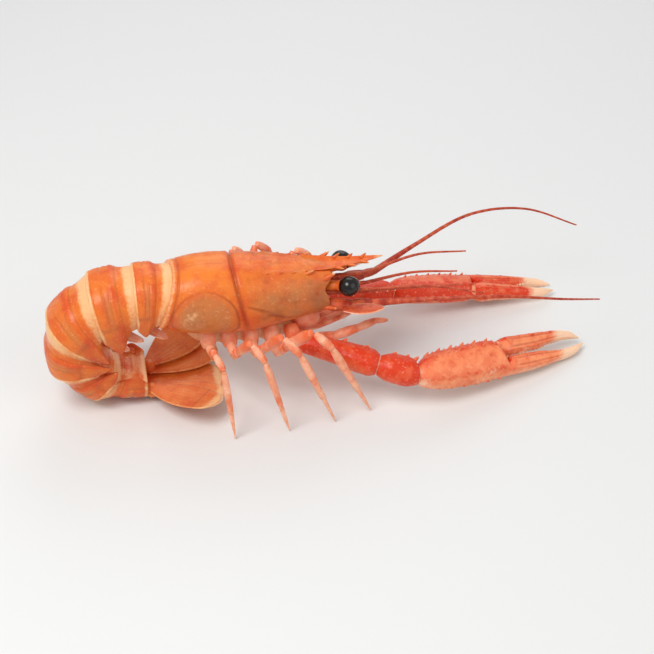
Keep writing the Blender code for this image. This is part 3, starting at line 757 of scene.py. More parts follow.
# ---- carapace -----------------------------------------------------------------------------
@dataclass(frozen=True)
class Carapace(Assembly):
    """The shell over head and thorax, with its beak, grooves and spines.

    A place on it is a share u of its length, from 0 at the rear to 1 at the face, and an
    angle down its side, from 0 at the middle of the back to 180 degrees at the belly.
    """

    length: float = 68.0
    groove: float = 0.475  # the cervical groove, as a share of the length
    slants: tuple[float, float, float] = (0.30, -0.24, 0.12)  # dx/dz of rear, groove and face
    beak: float = 23.0
    beak_lift: float = 2.2
    gill_place: tuple[float, float] = (0.245, 87.0)  # middle of the gill chamber's oval
    gill_reach: tuple[float, float] = (0.195, 37.0)
    rows: int = 260
    face_rows: int = 25
    columns: int = 300

    def half_width(self, u: Array) -> Array:
        """Half the width at a share of the length."""
        return through((0, 0.15, 0.35, 0.6, 0.85, 1), (14.6, 16.2, 17.0, 16.0, 13.2, 11.2), u)

    def top(self, u: Array) -> Array:
        """The height of the back over the axis."""
        return through((0, 0.2, 0.45, 0.7, 0.9, 1), (14.4, 16.4, 16.6, 15.6, 13.4, 12.2), u)

    def bottom(self, u: Array) -> Array:
        """The depth of the lower edge under the axis."""
        return through((0, 0.2, 0.5, 0.75, 1), (11.5, 15.5, 15.2, 12.0, 8.5), u)

    def keel(self, u: Array) -> Array:
        """How far from the middle each of the head's two keels runs."""
        return 4.6 + 7 * (1 - u)

    def gill_oval(self, u: Array, side: Array) -> Array:
        """How far a place is from the middle of the gill chamber's oval, whose edge is at 1."""
        (middle_u, middle_side), (reach_u, reach_side) = self.gill_place, self.gill_reach
        return np.hypot((u - middle_u) / reach_u, (side - middle_side) / reach_side)

    def relief(self, u: Array, angle: Array, y: Array) -> tuple[Array, Array]:
        """Grooves and keels in mm, and how dark the grooves are.

        Formula: each groove is minus a bell of the distance to its line, each keel plus one;
        a line is a place along the shell, across it, or a slanting mix of the two.

        Args:
            u: Share of the length.
            angle: Angle from the back, 0 to pi on each side.
            y: Distance from the middle in mm.

        Returns:
            The relief in mm, outwards, and the shade from 0 to 1.
        """
        side = np.degrees(angle)
        upper = rise(100, 60, side)
        along = (u - self.groove) * self.length
        neck = bell(along, 0, 1.0) * np.clip(np.cos(angle) + 0.75, 0, 1) ** 0.5
        rim = bell(u * self.length, 3.0, 0.6) * rise(150, 120, side)
        oval = self.gill_oval(u, side)
        gill_rim = bell(oval, 1.0, 0.05) * rise(0.02, 0.06, u) * (0.45 + 0.55 * rise(50, 75, side))
        cheek = 78 + 95 * (u - 0.5)
        cheek_line = bell((side - cheek) * 0.26, 0, 0.8) * rise(0.49, 0.53, u) * rise(0.86, 0.76, u)
        hem = bell((side - 128) * 0.25, 0, 0.7) * rise(0.04, 0.10, u) * rise(0.96, 0.88, u)
        middle = bell(np.abs(y), 1.2, 0.4) * upper * rise(0.45, 0.40, u)
        keel = bell(np.abs(y), self.keel(u), 0.6) * upper * rise(0.60, 0.72, u)
        centre_keel = bell(np.abs(y), 0, 0.5) * upper * rise(0.52, 0.6, u) * rise(0.9, 0.8, u)
        height = -1.0 * neck - 0.45 * rim - 0.45 * cheek_line - 0.4 * hem
        height = height - 0.22 * middle + 0.35 * keel + 0.25 * centre_keel - 0.25 * upper
        height = height - 0.22 * gill_rim + 0.25 * rise(1.0, 0.6, oval) - 0.25
        shade = 0.50 * neck + 0.30 * rim + 0.34 * cheek_line + 0.34 * hem
        return height, shade + 0.16 * middle + 0.34 * gill_rim * (1 + 0.6 * rise(0.2, 0.4, u))

    def pigment(self, u: Array, side: Array, lumps: Array, inward: Array) -> dict[str, Array]:
        """Where the shell is pale, flushed, brown or dark, with painted shade below the eye.

        Formula: each patch is a product of rises along and round the shell, broken up by
        unevenness. The gills show brown through their oval, the head is brown before the
        groove, and the groove and the rear edge are flushed.

        Args:
            u: Share of the length.
            side: Degrees down the side.
            lumps: Places in mm that the unevenness is read at.
            inward: 0 on the shell, and how far in from the face's edge on the face.

        Returns:
            Each mask by its name.
        """
        on_shell = inward == 0
        patchy = unevenness(lumps, 6.0, 3)
        blotch = unevenness(lumps, 3.4, 7) + 0.6 * unevenness(lumps, 1.7, 8)
        gills = rise(1.10, 0.62, self.gill_oval(u, side) + 0.10 * patchy) * (0.80 + 0.30 * patchy)
        head = rise(0.50, 0.60, u) * rise(150, 115, side) * on_shell
        pale = 0.45 * rise(0.035, 0.012, u) + 0.42 * rise(122, 142, side) * on_shell
        pale = pale + 0.30 * gills * rise(-0.3, 0.5, unevenness(lumps, 9.0, 6))
        pale = pale + 0.22 * gills * rise(0.1, 0.8, blotch)
        shade = 0.28 * gills * rise(0.0, -0.8, blotch) + 0.24 * head * rise(0.1, -0.8, blotch)
        # painted shade: darker on the side of the head below the eye
        shade = shade + 0.34 * bell(u, 0.96, 0.09) * rise(125, 95, side) * rise(25, 55, side)
        tan = 0.22 * rise(70, 30, side) * rise(0.48, 0.40, u)
        collar = bell(u, self.groove, 0.05) * rise(135, 100, side)
        flush = 0.22 + 0.30 * collar + 0.25 * bell(u, 0.05, 0.04) + 0.3 * (inward > 0) - tan
        flush = flush + 0.25 * rise(0.0, 0.6, unevenness(lumps, 4.0, 4)) * head
        brown = head * bell(side, 76, 38) * (0.62 + 0.38 * rise(0.60, 0.88, u))
        brown = brown * (0.85 + 0.6 * unevenness(lumps, 5.0, 5))
        return {"pale": pale, "flush": flush, "olive": 0.95 * gills + brown, "shade": shade}

    def shell(self) -> Skin:
        """The carapace itself.

        Formula: along u, an arch of half width w(u): y is w times the sine of the angle to
        the power 0.82, drawn in below; z is the top or bottom depth times the cosine to the
        power 0.9 or 0.6; x is u times the length plus z times the slant. Past the face the
        rings shrink to a point. Relief moves each point away from the axis.

        Returns:
            The skin in the carapace's frame.
        """
        face = np.linspace(0, 1, self.face_rows + 1)[1:, None]  # from its edge to its middle
        u = np.concatenate([np.linspace(0, 1, self.rows)[:, None], np.ones_like(face)])
        shrink = np.concatenate([np.ones((self.rows, 1)), 1 - 0.97 * face])
        inward = 1 - shrink
        ahead = 0.9 * bell(inward, 0.035, 0.035) - 3.2 * rise(0.05, 0.16, inward)
        t = around(self.columns)[0]
        angle = t + 0.32 * np.sin(2 * t)  # more points on the flanks
        s, c = np.sin(angle), np.cos(angle)
        tuck = 1 - 0.22 * np.clip(-c, 0, 1) ** 1.5
        y = self.half_width(u) * power(s, 0.82) * tuck
        depth = np.where(c > 0, self.top(u), self.bottom(u))
        z = depth * power(c, np.where(c > 0, 0.9, 0.6))
        folded = np.abs((angle + np.pi) % (2 * np.pi) - np.pi)
        height, groove_shade = self.relief(u, folded, y)
        lumps = np.stack([self.length * u + 0 * y, y, z], axis=-1)
        height = height + 0.16 * unevenness(lumps, 8.0, 1) + 0.06 * unevenness(lumps, 2.6, 2)
        swell = 1 + height * shrink / np.hypot(y, z)
        slant = through((0, self.groove, 1), self.slants, u)
        side = np.degrees(folded)
        notch = 2.6 * bell(side, 60, 17) - 0.9 * bell(side, 97, 11) + 3.4 * rise(112, 165, side)
        x = self.length * u + z * slant + ahead
        x = x + SEAM / 2 * rise(0.02, 0, u) - notch * rise(0.90, 1, u) * shrink
        masks = self.pigment(u, side, lumps, inward)
        # Painted shade: in the grooves, and in the face's hollow, darker further in.
        hollow = 0.45 * rise(0.04, 0.14, inward)
        masks["shade"] = np.where(inward > 0, hollow, groove_shade + masks["shade"])
        return skinned(np.stack([x, y * shrink * swell, z * shrink * swell], axis=-1), **masks)

    def beak_top(self, t: Array) -> Array:
        """The height of the beak's edge at a share t of its length."""
        lift = self.beak_lift * np.maximum(t, 0) ** 1.5
        return self.top(1) + 0.6 + lift - 0.8 * np.minimum(t, 0)

    def beak_skin(self) -> Skin:
        """The beak: a blade with a hollow top and a keel below, narrowing to a point.

        Formula: y is the half width times the cosine of an angle; above, z dips by a third
        of the depth towards the middle; below, it falls by the depth in the same way.

        Returns:
            The skin in the carapace's frame.
        """
        t = np.concatenate([np.linspace(-0.45, 0.97, 70), [0.985, 1.0]])[:, None]
        stations = (-0.45, -0.3, 0.0, 0.35, 0.7, 1.0)
        w = through(stations, (5.4, 5.2, 4.4, 2.9, 1.7, 0.35), t)
        d = through(stations, (3.4, 3.2, 2.8, 2.2, 1.5, 0.35), t)
        _, c, s = around(40)
        y = w * power(c, 0.85)
        over = -0.35 * d * (1 - np.abs(c) ** 2.2)
        under = -d * (1 - np.abs(c) ** 1.6)
        z = self.beak_top(t) + np.where(s > 0, over, under)
        x = self.length + self.slants[2] * self.top(1) + t * self.beak + 0 * y
        return skinned(np.stack([x, y, z], axis=-1), flush=0.45, pale=0.55 * rise(0.7, 1, t))

    def spines(self) -> Skin:
        """Teeth along the beak, spines on the head's keels and one under each eye.

        Returns:
            One skin that holds them all, in the carapace's frame.
        """
        rows = []  # the foot, tip and foot radius of each
        for sign in (side.value for side in Side):
            for t in (0.12, 0.36, 0.6):
                x, y = self.length + 1.5 + t * self.beak, sign * (3.5 - 4.2 * t)
                z = self.top(1) + self.beak_lift * t**1.5
                rows.append(((x, y, z), (x + 3.0, y + sign * 2.4, z + 0.9), 0.95))
            for back, across in ((0, 7.4), (9, 6.2)):
                x, z = self.length - back, 0.8 * self.top(1 - back / self.length) - 1.2
                foot = (x - 2, sign * 0.9 * across, z)
                rows.append((foot, (x + 3.4, sign * across, z + 4.3), 1.45))
            under_eye = (self.length - 2, sign * 9.4, -3), (self.length + 4.5, sign * 12.5, -2.2)
            rows.append((*under_eye, 1.4))
            for back in (15, 20, 26):  # small ones further back along each keel
                u = 1 - back / self.length
                x, y = self.length - back, sign * self.keel(u)
                z = self.top(u) * math.sqrt(1 - (y / self.half_width(u)) ** 2)
                rows.append(((x, y, z - 0.5), (x + 1.8, y, z + 0.35), 0.7))
        feet, tips, radii = (np.array(column, float) for column in zip(*rows))
        return cones(feet, tips, radii).masked(flush=0.5)

    def build(self) -> None:
        """Make the carapace as one piece."""
        skins = [skin.carried(self.body) for skin in (self.shell(), self.beak_skin(), self.spines())]
        self.dress("carapace", skins, self.finishes.shell)


@dataclass(frozen=True)
class Breastplate(Assembly):
    """The narrow sternum between the legs."""

    sections: Table = (
        (10, 6.0, 15.6, 19.5),
        (18, 8.4, 16.4, 22.0),
        (36, 8.6, 16.3, 22.5),
        (52, 7.0, 15.8, 22.0),
        (60, 5.0, 15.0, 19.5),
    )  # place along the carapace, half width, and depth of the upper and the lower side
    between_legs: tuple[float, ...] = (23.5, 32.5, 41.5, 50.5)
    sunk: float = 2.0  # how far its upper side stands into the shell above
    rows: int = 120
    columns: int = 64

    @classmethod
    def corners(cls) -> Array:
        """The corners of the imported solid.

        Returns:
            Points in the carapace's frame.
        """
        rings = []
        for x, w, top, bottom in cls.sections:
            half = [(w, -top), (w, -(top + bottom) / 2), (0.6 * w, -bottom)]
            rings += [(x, sign * y, z) for y, z in half for sign in (1, -1)]
        return np.array(rings, float)

    def build(self) -> None:
        """Make the breastplate.

        Formula: a rounded box whose width, top and bottom follow the sections, notched on
        the flanks by a bell between each two legs.
        """
        stations, *sizes = np.array(self.sections).T
        x = np.linspace(stations[0] + 0.1, stations[-1] - 0.1, self.rows)[:, None]
        w, top, bottom = (through(stations, size, x) for size in sizes)
        ends = np.sqrt(np.clip(1 - np.abs(2 * (x - 35) / 50.2) ** 14, 0.02, 1))
        _, c, s = around(self.columns)
        notch = sum(bell(x, place, 1.1) for place in self.between_legs)
        y = w * power(c, 0.6) * ends * (1 - 0.10 * notch)
        narrow = np.where(s < 0, 1 - 0.38 * np.abs(s) ** 2, 1)
        top = top - self.sunk
        middle, half = -(top + bottom) / 2, (bottom - top) / 2
        z = middle + half * power(s, 0.6) * ends * (1 - 0.15 * notch * (s < 0))
        z = z + 0.5 * bell(y, 0, 0.8) * (s < 0)
        grid = np.stack([x + 0 * y, y * narrow, z], axis=-1)
        skin = skinned(grid, pale=0.25 + 0.2 * notch, shade=0.2 * notch).carried(self.body)
        self.dress("breastplate", [skin], self.finishes.belly)


# ---- abdomen ------------------------------------------------------------------------------
@dataclass(frozen=True)
class Abdomen(Assembly):
    """Six ring-like segments. Each slides under the one in front with a smooth facet.

    A place on a segment is a share of its length, from front to back, and a place round each
    half ring, from 0 at the middle of the back to 1 at the middle of the belly.
    """

    posture: Posture
    facet: float = 0.34  # the share of a segment that slides under the one in front
    tail_taper: float = 0.75
    shares: tuple[float, float] = (0.55, 0.45)  # of a half ring: its back and what is below
    rows: int = 110
    columns: int = 120  # on each half

    def girth(self, share: Array) -> Array:
        """How full the ring is: a low facet, a step up behind it, and a drawn-in rear rim."""
        stations = (-0.3, 0.0, 0.34, 0.40, 0.58, 0.85, 1.0)
        return through(stations, (0.92, 0.935, 0.955, 0.995, 1.02, 1.015, 1.0), share)

    def ring(self, index: int, share: Array) -> tuple[Array, Array]:
        """The rings of a segment at some shares of its length.

        Formula: on the back, half width times the sine to the power 0.82 and height times
        the cosine to the power 0.92; below, a smooth curve through the side lobe's outer
        face, tip and inner face and the belly. Each ring leans so that two segments meet.

        Args:
            index: Which segment, from 0.
            share: (rows, 1) shares of its length, from front to back.

        Returns:
            (rows, columns, 3) points, and the place round the ring.
        """
        segment = self.posture.segments[index]
        before = self.posture.segments[max(index - 1, 0)]
        taper = self.tail_taper if index == len(self.posture.segments) - 1 else 0
        blend = np.clip(share / self.facet, 0, 1)
        width = segment.width * blend + before.width * (1 - blend)
        top = segment.top * blend + before.top * (1 - blend)
        belly = segment.belly * (1 - taper * np.clip(share, 0, 1))
        point = rise(0.5, 0, np.abs(share - 0.62))
        lobe = 0.7 * belly + (segment.lobe - 0.7 * belly) * point
        upper, lower = self.shares
        place = np.linspace(0, 1, self.columns)[None]
        angle = np.clip(place / upper, 0, 1) * np.pi / 2
        below = np.clip((place - upper) / lower, 0, 1)
        knots = (0, 0.22, 0.46, 0.60, 0.74, 0.88, 1)
        across = width * through(knots, (1.0, 0.975, 0.905, 0.80, 0.72, 0.4, 0.0), below)
        y = np.where(place <= upper, width * np.sin(angle) ** 0.82, across)
        outer = (0 * lobe, -0.55 * lobe, -lobe, -0.86 * lobe + 0.1)
        depths = (*outer, -0.72 * belly, -0.9 * belly, -belly)
        under = sum(
            depth * through(knots, np.eye(len(knots))[k], below) for k, depth in enumerate(depths)
        )
        z = np.where(place <= upper, top * np.clip(np.cos(angle), 0, 1) ** 0.92, under)
        girth = self.girth(share)
        y, z = y * girth, z * np.where(z > 0, girth, 1)
        rear_slant = 0 if index else math.degrees(math.atan(Carapace.slants[0]))
        tilt = math.radians(segment.turn + rear_slant)
        lean = np.arcsin(np.sin(tilt) * np.clip(1 - share, 0, 1) ** 1.5)
        back = SEAM / 2 + (segment.length - SEAM) * share
        half = np.stack([-back + z * np.sin(lean), y, z * np.cos(lean)], axis=-1)
        mirror = half[:, -2:0:-1] * (1, -1, 1)
        place = np.concatenate([place, place[:, -2:0:-1]], axis=1)
        return np.concatenate([half, mirror], axis=1), place

    def skin(self, index: int) -> Skin:
        """One segment: its rings, a rounded rear rim, and a shallow hollow behind the rim.

        Formula: two creases, a hinge line and a hem are minus a bell of the distance to
        their line, and two ribs under the belly plus one. The pigment is paler on the facet
        and the rear rim, and redder just behind the facet; painted shade makes the rear
        segments and the lower flank redder, and the facet's edge, grooves and flank darker.

        Args:
            index: Which segment, from 0.

        Returns:
            The skin in the segment's frame.
        """
        share = np.linspace(-0.12 if index else -0.28, 1, self.rows)[:, None]
        rings, place = self.ring(index, share)
        out = unit(rings - rings.mean(axis=1, keepdims=True))
        dorsal = rise(0.58, 0.45, place)
        sway = 0.02 * np.cos(place * 9)
        crease = bell(share, 0.66 + sway, 0.030) * dorsal * rise(0.03, 0.12, place)
        second = bell(share, 0.50 - sway, 0.026) * dorsal * rise(0.10, 0.20, place)
        hinge = bell(place, 0.56, 0.022) * rise(0.38, 0.48, share) * rise(0.96, 0.86, share)
        hem = bell(share, 0.90, 0.016) * rise(0.70, 0.55, place)
        edge = rise(0.975, 1.0, share) * 0.5
        height = -0.30 * crease - 0.22 * second - 0.34 * hinge - 0.16 * hem - edge
        rib = (0.7 * bell(share, 0.30, 0.07) + 0.9 * bell(share, 0.66, 0.09)) * rise(0.82, 0.92, place)
        height = height + 0.12 * unevenness(rings, 5.0, 10 + index) - 0.14 + rib
        rings = rings + out * height[..., None]
        inner = rings[-1:] + out[-1:] * -1.1
        deep = inner + np.array([0.9, 0, 0])
        grid = np.concatenate([rings, inner, deep * (1, 0.9, 0.9)])

        patchy = unevenness(rings, 4.0, 14 + index)
        rear = rise(0.87, 0.95, share + 0.012 * patchy)
        facet = rise(0.27, 0.12, share + 0.015 * patchy)
        faded = facet * (1 - 0.25 * rise(0.0, 0.26, share) * (1 + patchy))
        pale = np.maximum(rear * 0.64, 0.70 * faded) * (1 - 0.30 * rise(0.25, 0.5, place))
        pale = pale + 0.25 * bell(place, 0.60, 0.05) * rise(0.5, 0.9, share)
        pale = pale + 0.36 * rise(0.80, 0.86, place) * (1 + 0.6 * patchy)
        # Painted shade: the rear segments and the lower flank are redder, as in the shadow under the
        # curled tail.
        flush = 0.26 + 0.35 * bell(share, 0.42, 0.06) + 0.15 * bell(place, 0.72, 0.12)
        flush = flush + 0.16 * patchy + 0.22 * rise(2.0, 5.0, index) - 0.3 * np.maximum(rear, facet)
        # Painted shade: darker at the facet's edge, in the creases, the hinge line and the hem, and on
        # the lower flank.
        shade = 0.26 * bell(share, self.facet, 0.018) + 0.16 * crease + 0.12 * second + 0.20 * hinge
        shade = shade + 0.22 * rise(0.45, 0.75, place) * rise(0.86, 0.80, place) + 0.14 * hem
        olive = 0.30 * bell(share, 0.58, 0.10) * bell(place, 0.38, 0.16) * (1 + patchy)
        olive = olive + 0.25 * bell(share, 0.58, 0.09) * dorsal * rise(0.1, 0.3, place)
        masks = {"pale": pale, "flush": flush, "shade": shade, "olive": olive}
        hidden = ((0, len(grid) - len(rings)), (0, 0))  # the rows that turn in have no colour
        return skinned(grid, **{name: np.pad(mask + 0 * place, hidden) for name, mask in masks.items()})

    def build(self) -> None:
        """Make the six segments, each a piece."""
        for number, matrix in enumerate(self.posture.chain(self.body)[:-1], start=1):
            skin, name = self.skin(number - 1).carried(matrix), f"abdomen_{number}"
            make_piece(f"{name}_shell", [skin], self.finishes.shell, (name,), crease=70)


# ---- tail fan -----------------------------------------------------------------------------
@dataclass(frozen=True)
class Blade:
    """One plate of the tail fan, in mm and degrees."""

    node: str
    side: int
    layer: int
    foot: tuple[float, float]
    splay: float
    length: float
    half_width: float


@dataclass(frozen=True)
class TailFan(Assembly):
    """The telson and the two pairs of uropods, lying flat in three layers.

    A place on a blade is a share of its length, and a place across it from -1 to 1.
    """

    posture: Posture
    thickness: float = 1.5
    layer: float = 2.5
    camber: float = 0.007  # 1/mm
    drop: float = 1.2
    bristles: int = 170  # on each blade
    rows: int = 110
    columns: int = 96
    blades: tuple[Blade, ...] = (
        Blade("telson", 0, 0, (-1.2, 0), 0, 31.0, 9.6),
        Blade("uropod_inner_right", -1, 1, (-2.0, -6.5), 15, 30.4, 7.8),
        Blade("uropod_inner_left", 1, 1, (-2.0, 6.5), 17, 30.4, 7.8),
        Blade("uropod_outer_right", -1, 2, (-2.0, -8.5), 34, 31.0, 9.0),
        Blade("uropod_outer_left", 1, 2, (-2.0, 8.5), 38, 31.0, 9.0),
    )

    @property
    def height(self) -> float:
        """The height of the telson's middle plane in the fan's frame."""
        return self.posture.segments[-1].top - self.drop

    def outline(self, layer: int, share: Array) -> Array:
        """Half the width of a blade, as a share of its greatest.

        Formula: a smooth curve through a table, times a quarter of an ellipse at the end.

        Args:
            layer: The blade's layer, 0 for the telson.
            share: Shares of its length.

        Returns:
            The half widths.
        """
        round_end = np.sqrt(np.clip(1 - (np.clip(share - 0.86, 0, 1) / 0.14) ** 2, 0, 1))
        if layer == 0:
            return through((0, 0.12, 0.5, 0.86, 1), (0.86, 0.98, 1.0, 0.90, 0.86), share) * round_end
        stations, widths = (0, 0.15, 0.4, 0.7, 0.86, 1), (0.32, 0.58, 0.9, 1.0, 0.9, 0.72)
        return through(stations, widths, share) * round_end

    def spot(self, blade: Blade, share: Array, across: Array) -> Array:
        """A point in the blade's middle plane.

        Formula: out from the foot and across, turned by the splay; the height falls with the
        layer and with the square of the distance from the fan's middle.

        Args:
            blade: The blade.
            share: Shares of its length.
            across: Places across it.

        Returns:
            Points in the fan's frame.
        """
        out, lateral = share * blade.length, across * blade.half_width * self.outline(blade.layer, share)
        turn = math.radians(blade.splay) * blade.side
        x = blade.foot[0] - (out * math.cos(turn) + lateral * math.sin(turn))
        y = blade.foot[1] + out * math.sin(turn) - lateral * math.cos(turn)
        return np.stack([x, y, self.height - blade.layer * self.layer - self.camber * y**2], axis=-1)

    def skin(self, blade: Blade) -> Skin:
        """The plate: a thin oval section round its middle plane, with ribs along it.

        Formula: half the thickness, thinner at the edges, plus a bell at each rib, and minus
        one along the hem and at the outer blades' suture.

        Args:
            blade: The blade.

        Returns:
            The skin in the fan's frame.
        """
        share = 1 - 1.04 * (1 - np.linspace(0, 1, self.rows)[:, None]) ** 1.6
        _, c, s = around(self.columns)
        grid = self.spot(blade, share + 0 * c, c + 0 * share)
        edge = (1 - np.abs(c) ** 6) * rise(1.0, 0.93, share)
        rib = 0.12 * bell(c, 0, 0.07) + 0.10 * (bell(np.abs(c), 0.5, 0.05) + bell(np.abs(c), 0.28, 0.05))
        hem = bell(np.abs(c), 0.86, 0.04)
        suture = bell(share, 0.74, 0.012) * (blade.layer == 2)
        half = self.thickness / 2 * (0.35 + 0.5 * edge**0.5) + (rib - 0.10 * hem) * edge - 0.12 * suture
        grid[..., 2] += np.sign(s) * np.abs(s) ** 0.25 * half
        pale = 0.7 * rise(0.80, 0.97, share) + 0.4 * rise(0.75, 1.0, np.abs(c))
        flush = 0.25 + 0.4 * rise(0.4, 0.0, share) + 0.3 * bell(share, 0.70, 0.08)
        return skinned(grid, pale=pale, flush=flush, shade=0.35 * suture + 0.15 * hem)

    def fringe(self, blade: Blade) -> Skin:
        """A fringe of bristles along the rear edge, short on the flanks and longer at the end.

        Args:
            blade: The blade.

        Returns:
            The skin in the fan's frame.
        """
        across = np.linspace(-1, 1, self.bristles)
        share = 0.86 + 0.14 * np.sqrt(1 - across**2)
        round_end = np.maximum(np.sqrt(1 - ((share - 0.86) / 0.14) ** 2), 0.03)
        feet = self.spot(blade, share, 0.985 * across / round_end)
        inner = self.spot(blade, share - 0.2, 0.7 * across)
        reach = 0.8 * rise(1.0, 0.7, np.abs(across)) + 0.3
        wander = 0.25 * unevenness(feet, 0.5, 21)[:, None] * np.array([0.3, 1.0, 0.2])
        return cones(feet, feet + reach[:, None] * unit(unit(feet - inner) + wander), 0.16, 3, 0.8)

    def build(self) -> None:
        """Make the five plates, each with its fringe, and the ball joint of each inner pair."""
        matrix = self.posture.chain(self.body)[-1]
        for blade in self.blades:
            plates = [self.skin(blade).carried(matrix)]
            if blade.layer == 1:
                place = (-1.4, 7.6 * blade.side, self.height - 1.5 * self.layer)
                plates.append(ball(place, (3.0, 3.6, 3.0)).masked(flush=0.4).carried(matrix))
            self.dress(blade.node, plates, self.finishes.fan, "plate")
            fringe = self.fringe(blade).carried(matrix)
            make_piece(f"{blade.node}_fringe", [fringe], self.finishes.bristle)



# ---- claws --------------------------------------------------------------------------------
@dataclass(frozen=True)
class Claw(Assembly):
    """One long claw: merus, carpus, palm with its fixed finger, and moving finger.

    Rows of the tables are a share of the length, then half width and half thickness, with
    the middle's place across before them for palm and finger. The joints stand in the
    frame of the floor under the body.
    """

    side: Side
    length: float
    fullness: float
    roll: float
    opening: float
    elbow: tuple[float, float, float]
    wrist: tuple[float, float, float]
    tip: tuple[float, float, float]
    redness: float
    shoulder: tuple[float, float, float] = (55, 9.6, -19.4)
    knuckle: float = 7.0
    merus: Table = (
        (0, 3.4, 3.2),
        (0.12, 4.6, 4.2),
        (0.5, 5.2, 4.9),
        (0.82, 6.0, 5.6),
        (0.95, 5.6, 5.2),
        (1, 4.6, 4.3),
    )
    carpus: Table = (
        (0, 4.4, 4.2),
        (0.14, 5.5, 5.3),
        (0.55, 6.5, 6.1),
        (0.86, 6.0, 5.6),
        (1, 4.6, 4.5),
    )
    palm: Table = (
        (0.0, 0.0, 4.2, 4.4),
        (0.025, 0.0, 5.8, 5.4),
        (0.08, -0.2, 7.4, 6.2),
        (0.20, -0.3, 8.4, 6.6),
        (0.34, -0.2, 8.7, 6.6),
        (0.430, 0.0, 8.4, 6.1),
        (0.455, -0.2, 8.1, 6.05),
        (0.470, -0.9, 7.4, 5.9),
        (0.480, -2.0, 6.3, 5.75),
        (0.486, -3.1, 5.2, 5.5),
        (0.490, -4.2, 4.1, 5.2),
        (0.530, -4.3, 4.0, 5.0),
        (0.60, -4.3, 4.0, 4.6),
        (0.72, -4.1, 3.5, 3.9),
        (0.80, -4.1, 2.6, 3.3),
        (0.88, -3.8, 2.2, 2.7),
        (0.95, -2.6, 1.7, 1.9),
        (1.0, -0.8, 0.5, 0.6),
    )
    moving_finger: Table = (
        (0.495, 4.2, 3.4, 4.5),
        (0.515, 4.3, 3.9, 5.0),
        (0.61, 4.3, 3.9, 4.5),
        (0.72, 4.2, 3.6, 3.8),
        (0.80, 4.4, 2.8, 3.2),
        (0.88, 4.1, 2.3, 2.6),
        (0.94, 3.2, 1.7, 1.8),
        (0.985, 1.4, 0.5, 0.6),
    )
    ridge_angles: tuple[float, ...] = (0, 50, 130, 180)
    spine_heights: tuple[float, ...] = (2.2, 1.6, 1.6, 2.0)
    spines: int = 12  # on each ridge
    shrinking: tuple[float, ...] = (0.3, 0.7, 0.92)  # of the rings that close an arm segment
    arm_rows: int = 60
    arm_columns: int = 72
    hand_rows: int = 170
    hand_columns: int = 108

    @property
    def up(self) -> int:
        """The sign of Z on the upper face, in the claw's frame."""
        return -self.side.value

    def strut(self, start: Array, end: Array, table: Table, lean: tuple) -> Skin:
        """A stout segment of the arm between two joints.

        Formula: oval rings along a straight line, their radii a smooth curve through the
        table; near each end the rings turn halfway to the next segment's direction, and past
        it they shrink to a point.

        Args:
            start: The joint nearer the body.
            end: The joint nearer the claw's tip.
            table: Rows of share, half width and half thickness.
            lean: The direction of the segment before and after, or None.

        Returns:
            The skin in world millimetres.
        """
        along = unit(end - start)
        first, last = start + along * SEAM / 2, end - along * SEAM / 2
        cap = len(self.shrinking)
        share = np.concatenate([[0] * cap, np.linspace(0, 1, self.arm_rows), [1] * cap])[:, None]
        closing = [*self.shrinking, *[1] * self.arm_rows, *self.shrinking[::-1]]
        closing = np.array(closing)[:, None]
        stations, widths, depths = np.array(table).T
        turns = [along if v is None else unit(along + unit(v)) for v in lean]
        near, far = rise(0.16, 0, share), rise(0.84, 1, share)
        normal = unit(along + near * (turns[0] - along) + far * (turns[1] - along))
        across = unit(np.cross(UP, normal))
        lift = np.cross(normal, across)
        angle, c, s = around(self.arm_columns)
        centre = first + share * (last - first)
        grain = centre[:, None] + across[:, None] * c[..., None] * 5
        rough = 1 + 0.018 * unevenness(grain + lift[:, None] * s[..., None] * 5, 2.2, 31)
        w = through(stations, widths, share) * self.fullness * closing * rough
        h = through(stations, depths, share) * self.fullness * closing * rough
        edges = bell(np.degrees(angle), 40, 9) + bell(np.degrees(angle), 140, 9)
        ridge = 1 + 0.035 * edges * rise(0.1, 0.3, share)
        grid = centre[:, None] + across[:, None] * (w * ridge * c)[..., None]
        grid = grid + lift[:, None] * (h * ridge * s)[..., None]
        flush = self.redness + 0.50 + 0.25 * rise(-0.6, 0.5, s) + 0.2 * rise(0.75, 0.95, share)
        flush = flush + 0.15 * unevenness(grid, 4.0, 32)
        pale = 0.45 * rise(-0.3, -0.9, s) + 0.6 * (closing < 1) + 0.3 * rise(0.06, 0.0, share)
        return skinned(grid, flush=flush, pale=pale, shade=0.25 * (closing < 0.99) * np.ones_like(s))

    def arm_spines(self, start: Array, end: Array, radius: float, places: tuple[float, ...]) -> Skin:
        """Spines on the upper inner edge of an arm segment, pointing forward.

        Args:
            start: The joint nearer the body.
            end: The joint nearer the claw's tip.
            radius: The segment's radius in mm.
            places: Shares of the way at which they stand.

        Returns:
            The skin in world millimetres.
        """
        along = unit(end - start)
        across = unit(np.cross(UP, along))
        out = unit(-self.side.value * across * 0.75 + np.cross(along, across) * 0.65)
        feet = start + np.outer(places, end - start) + out * (radius - 0.9)
        return cones(feet, feet + out * 2.4 + along * 1.6, 1.1).masked(flush=self.redness + 0.4)

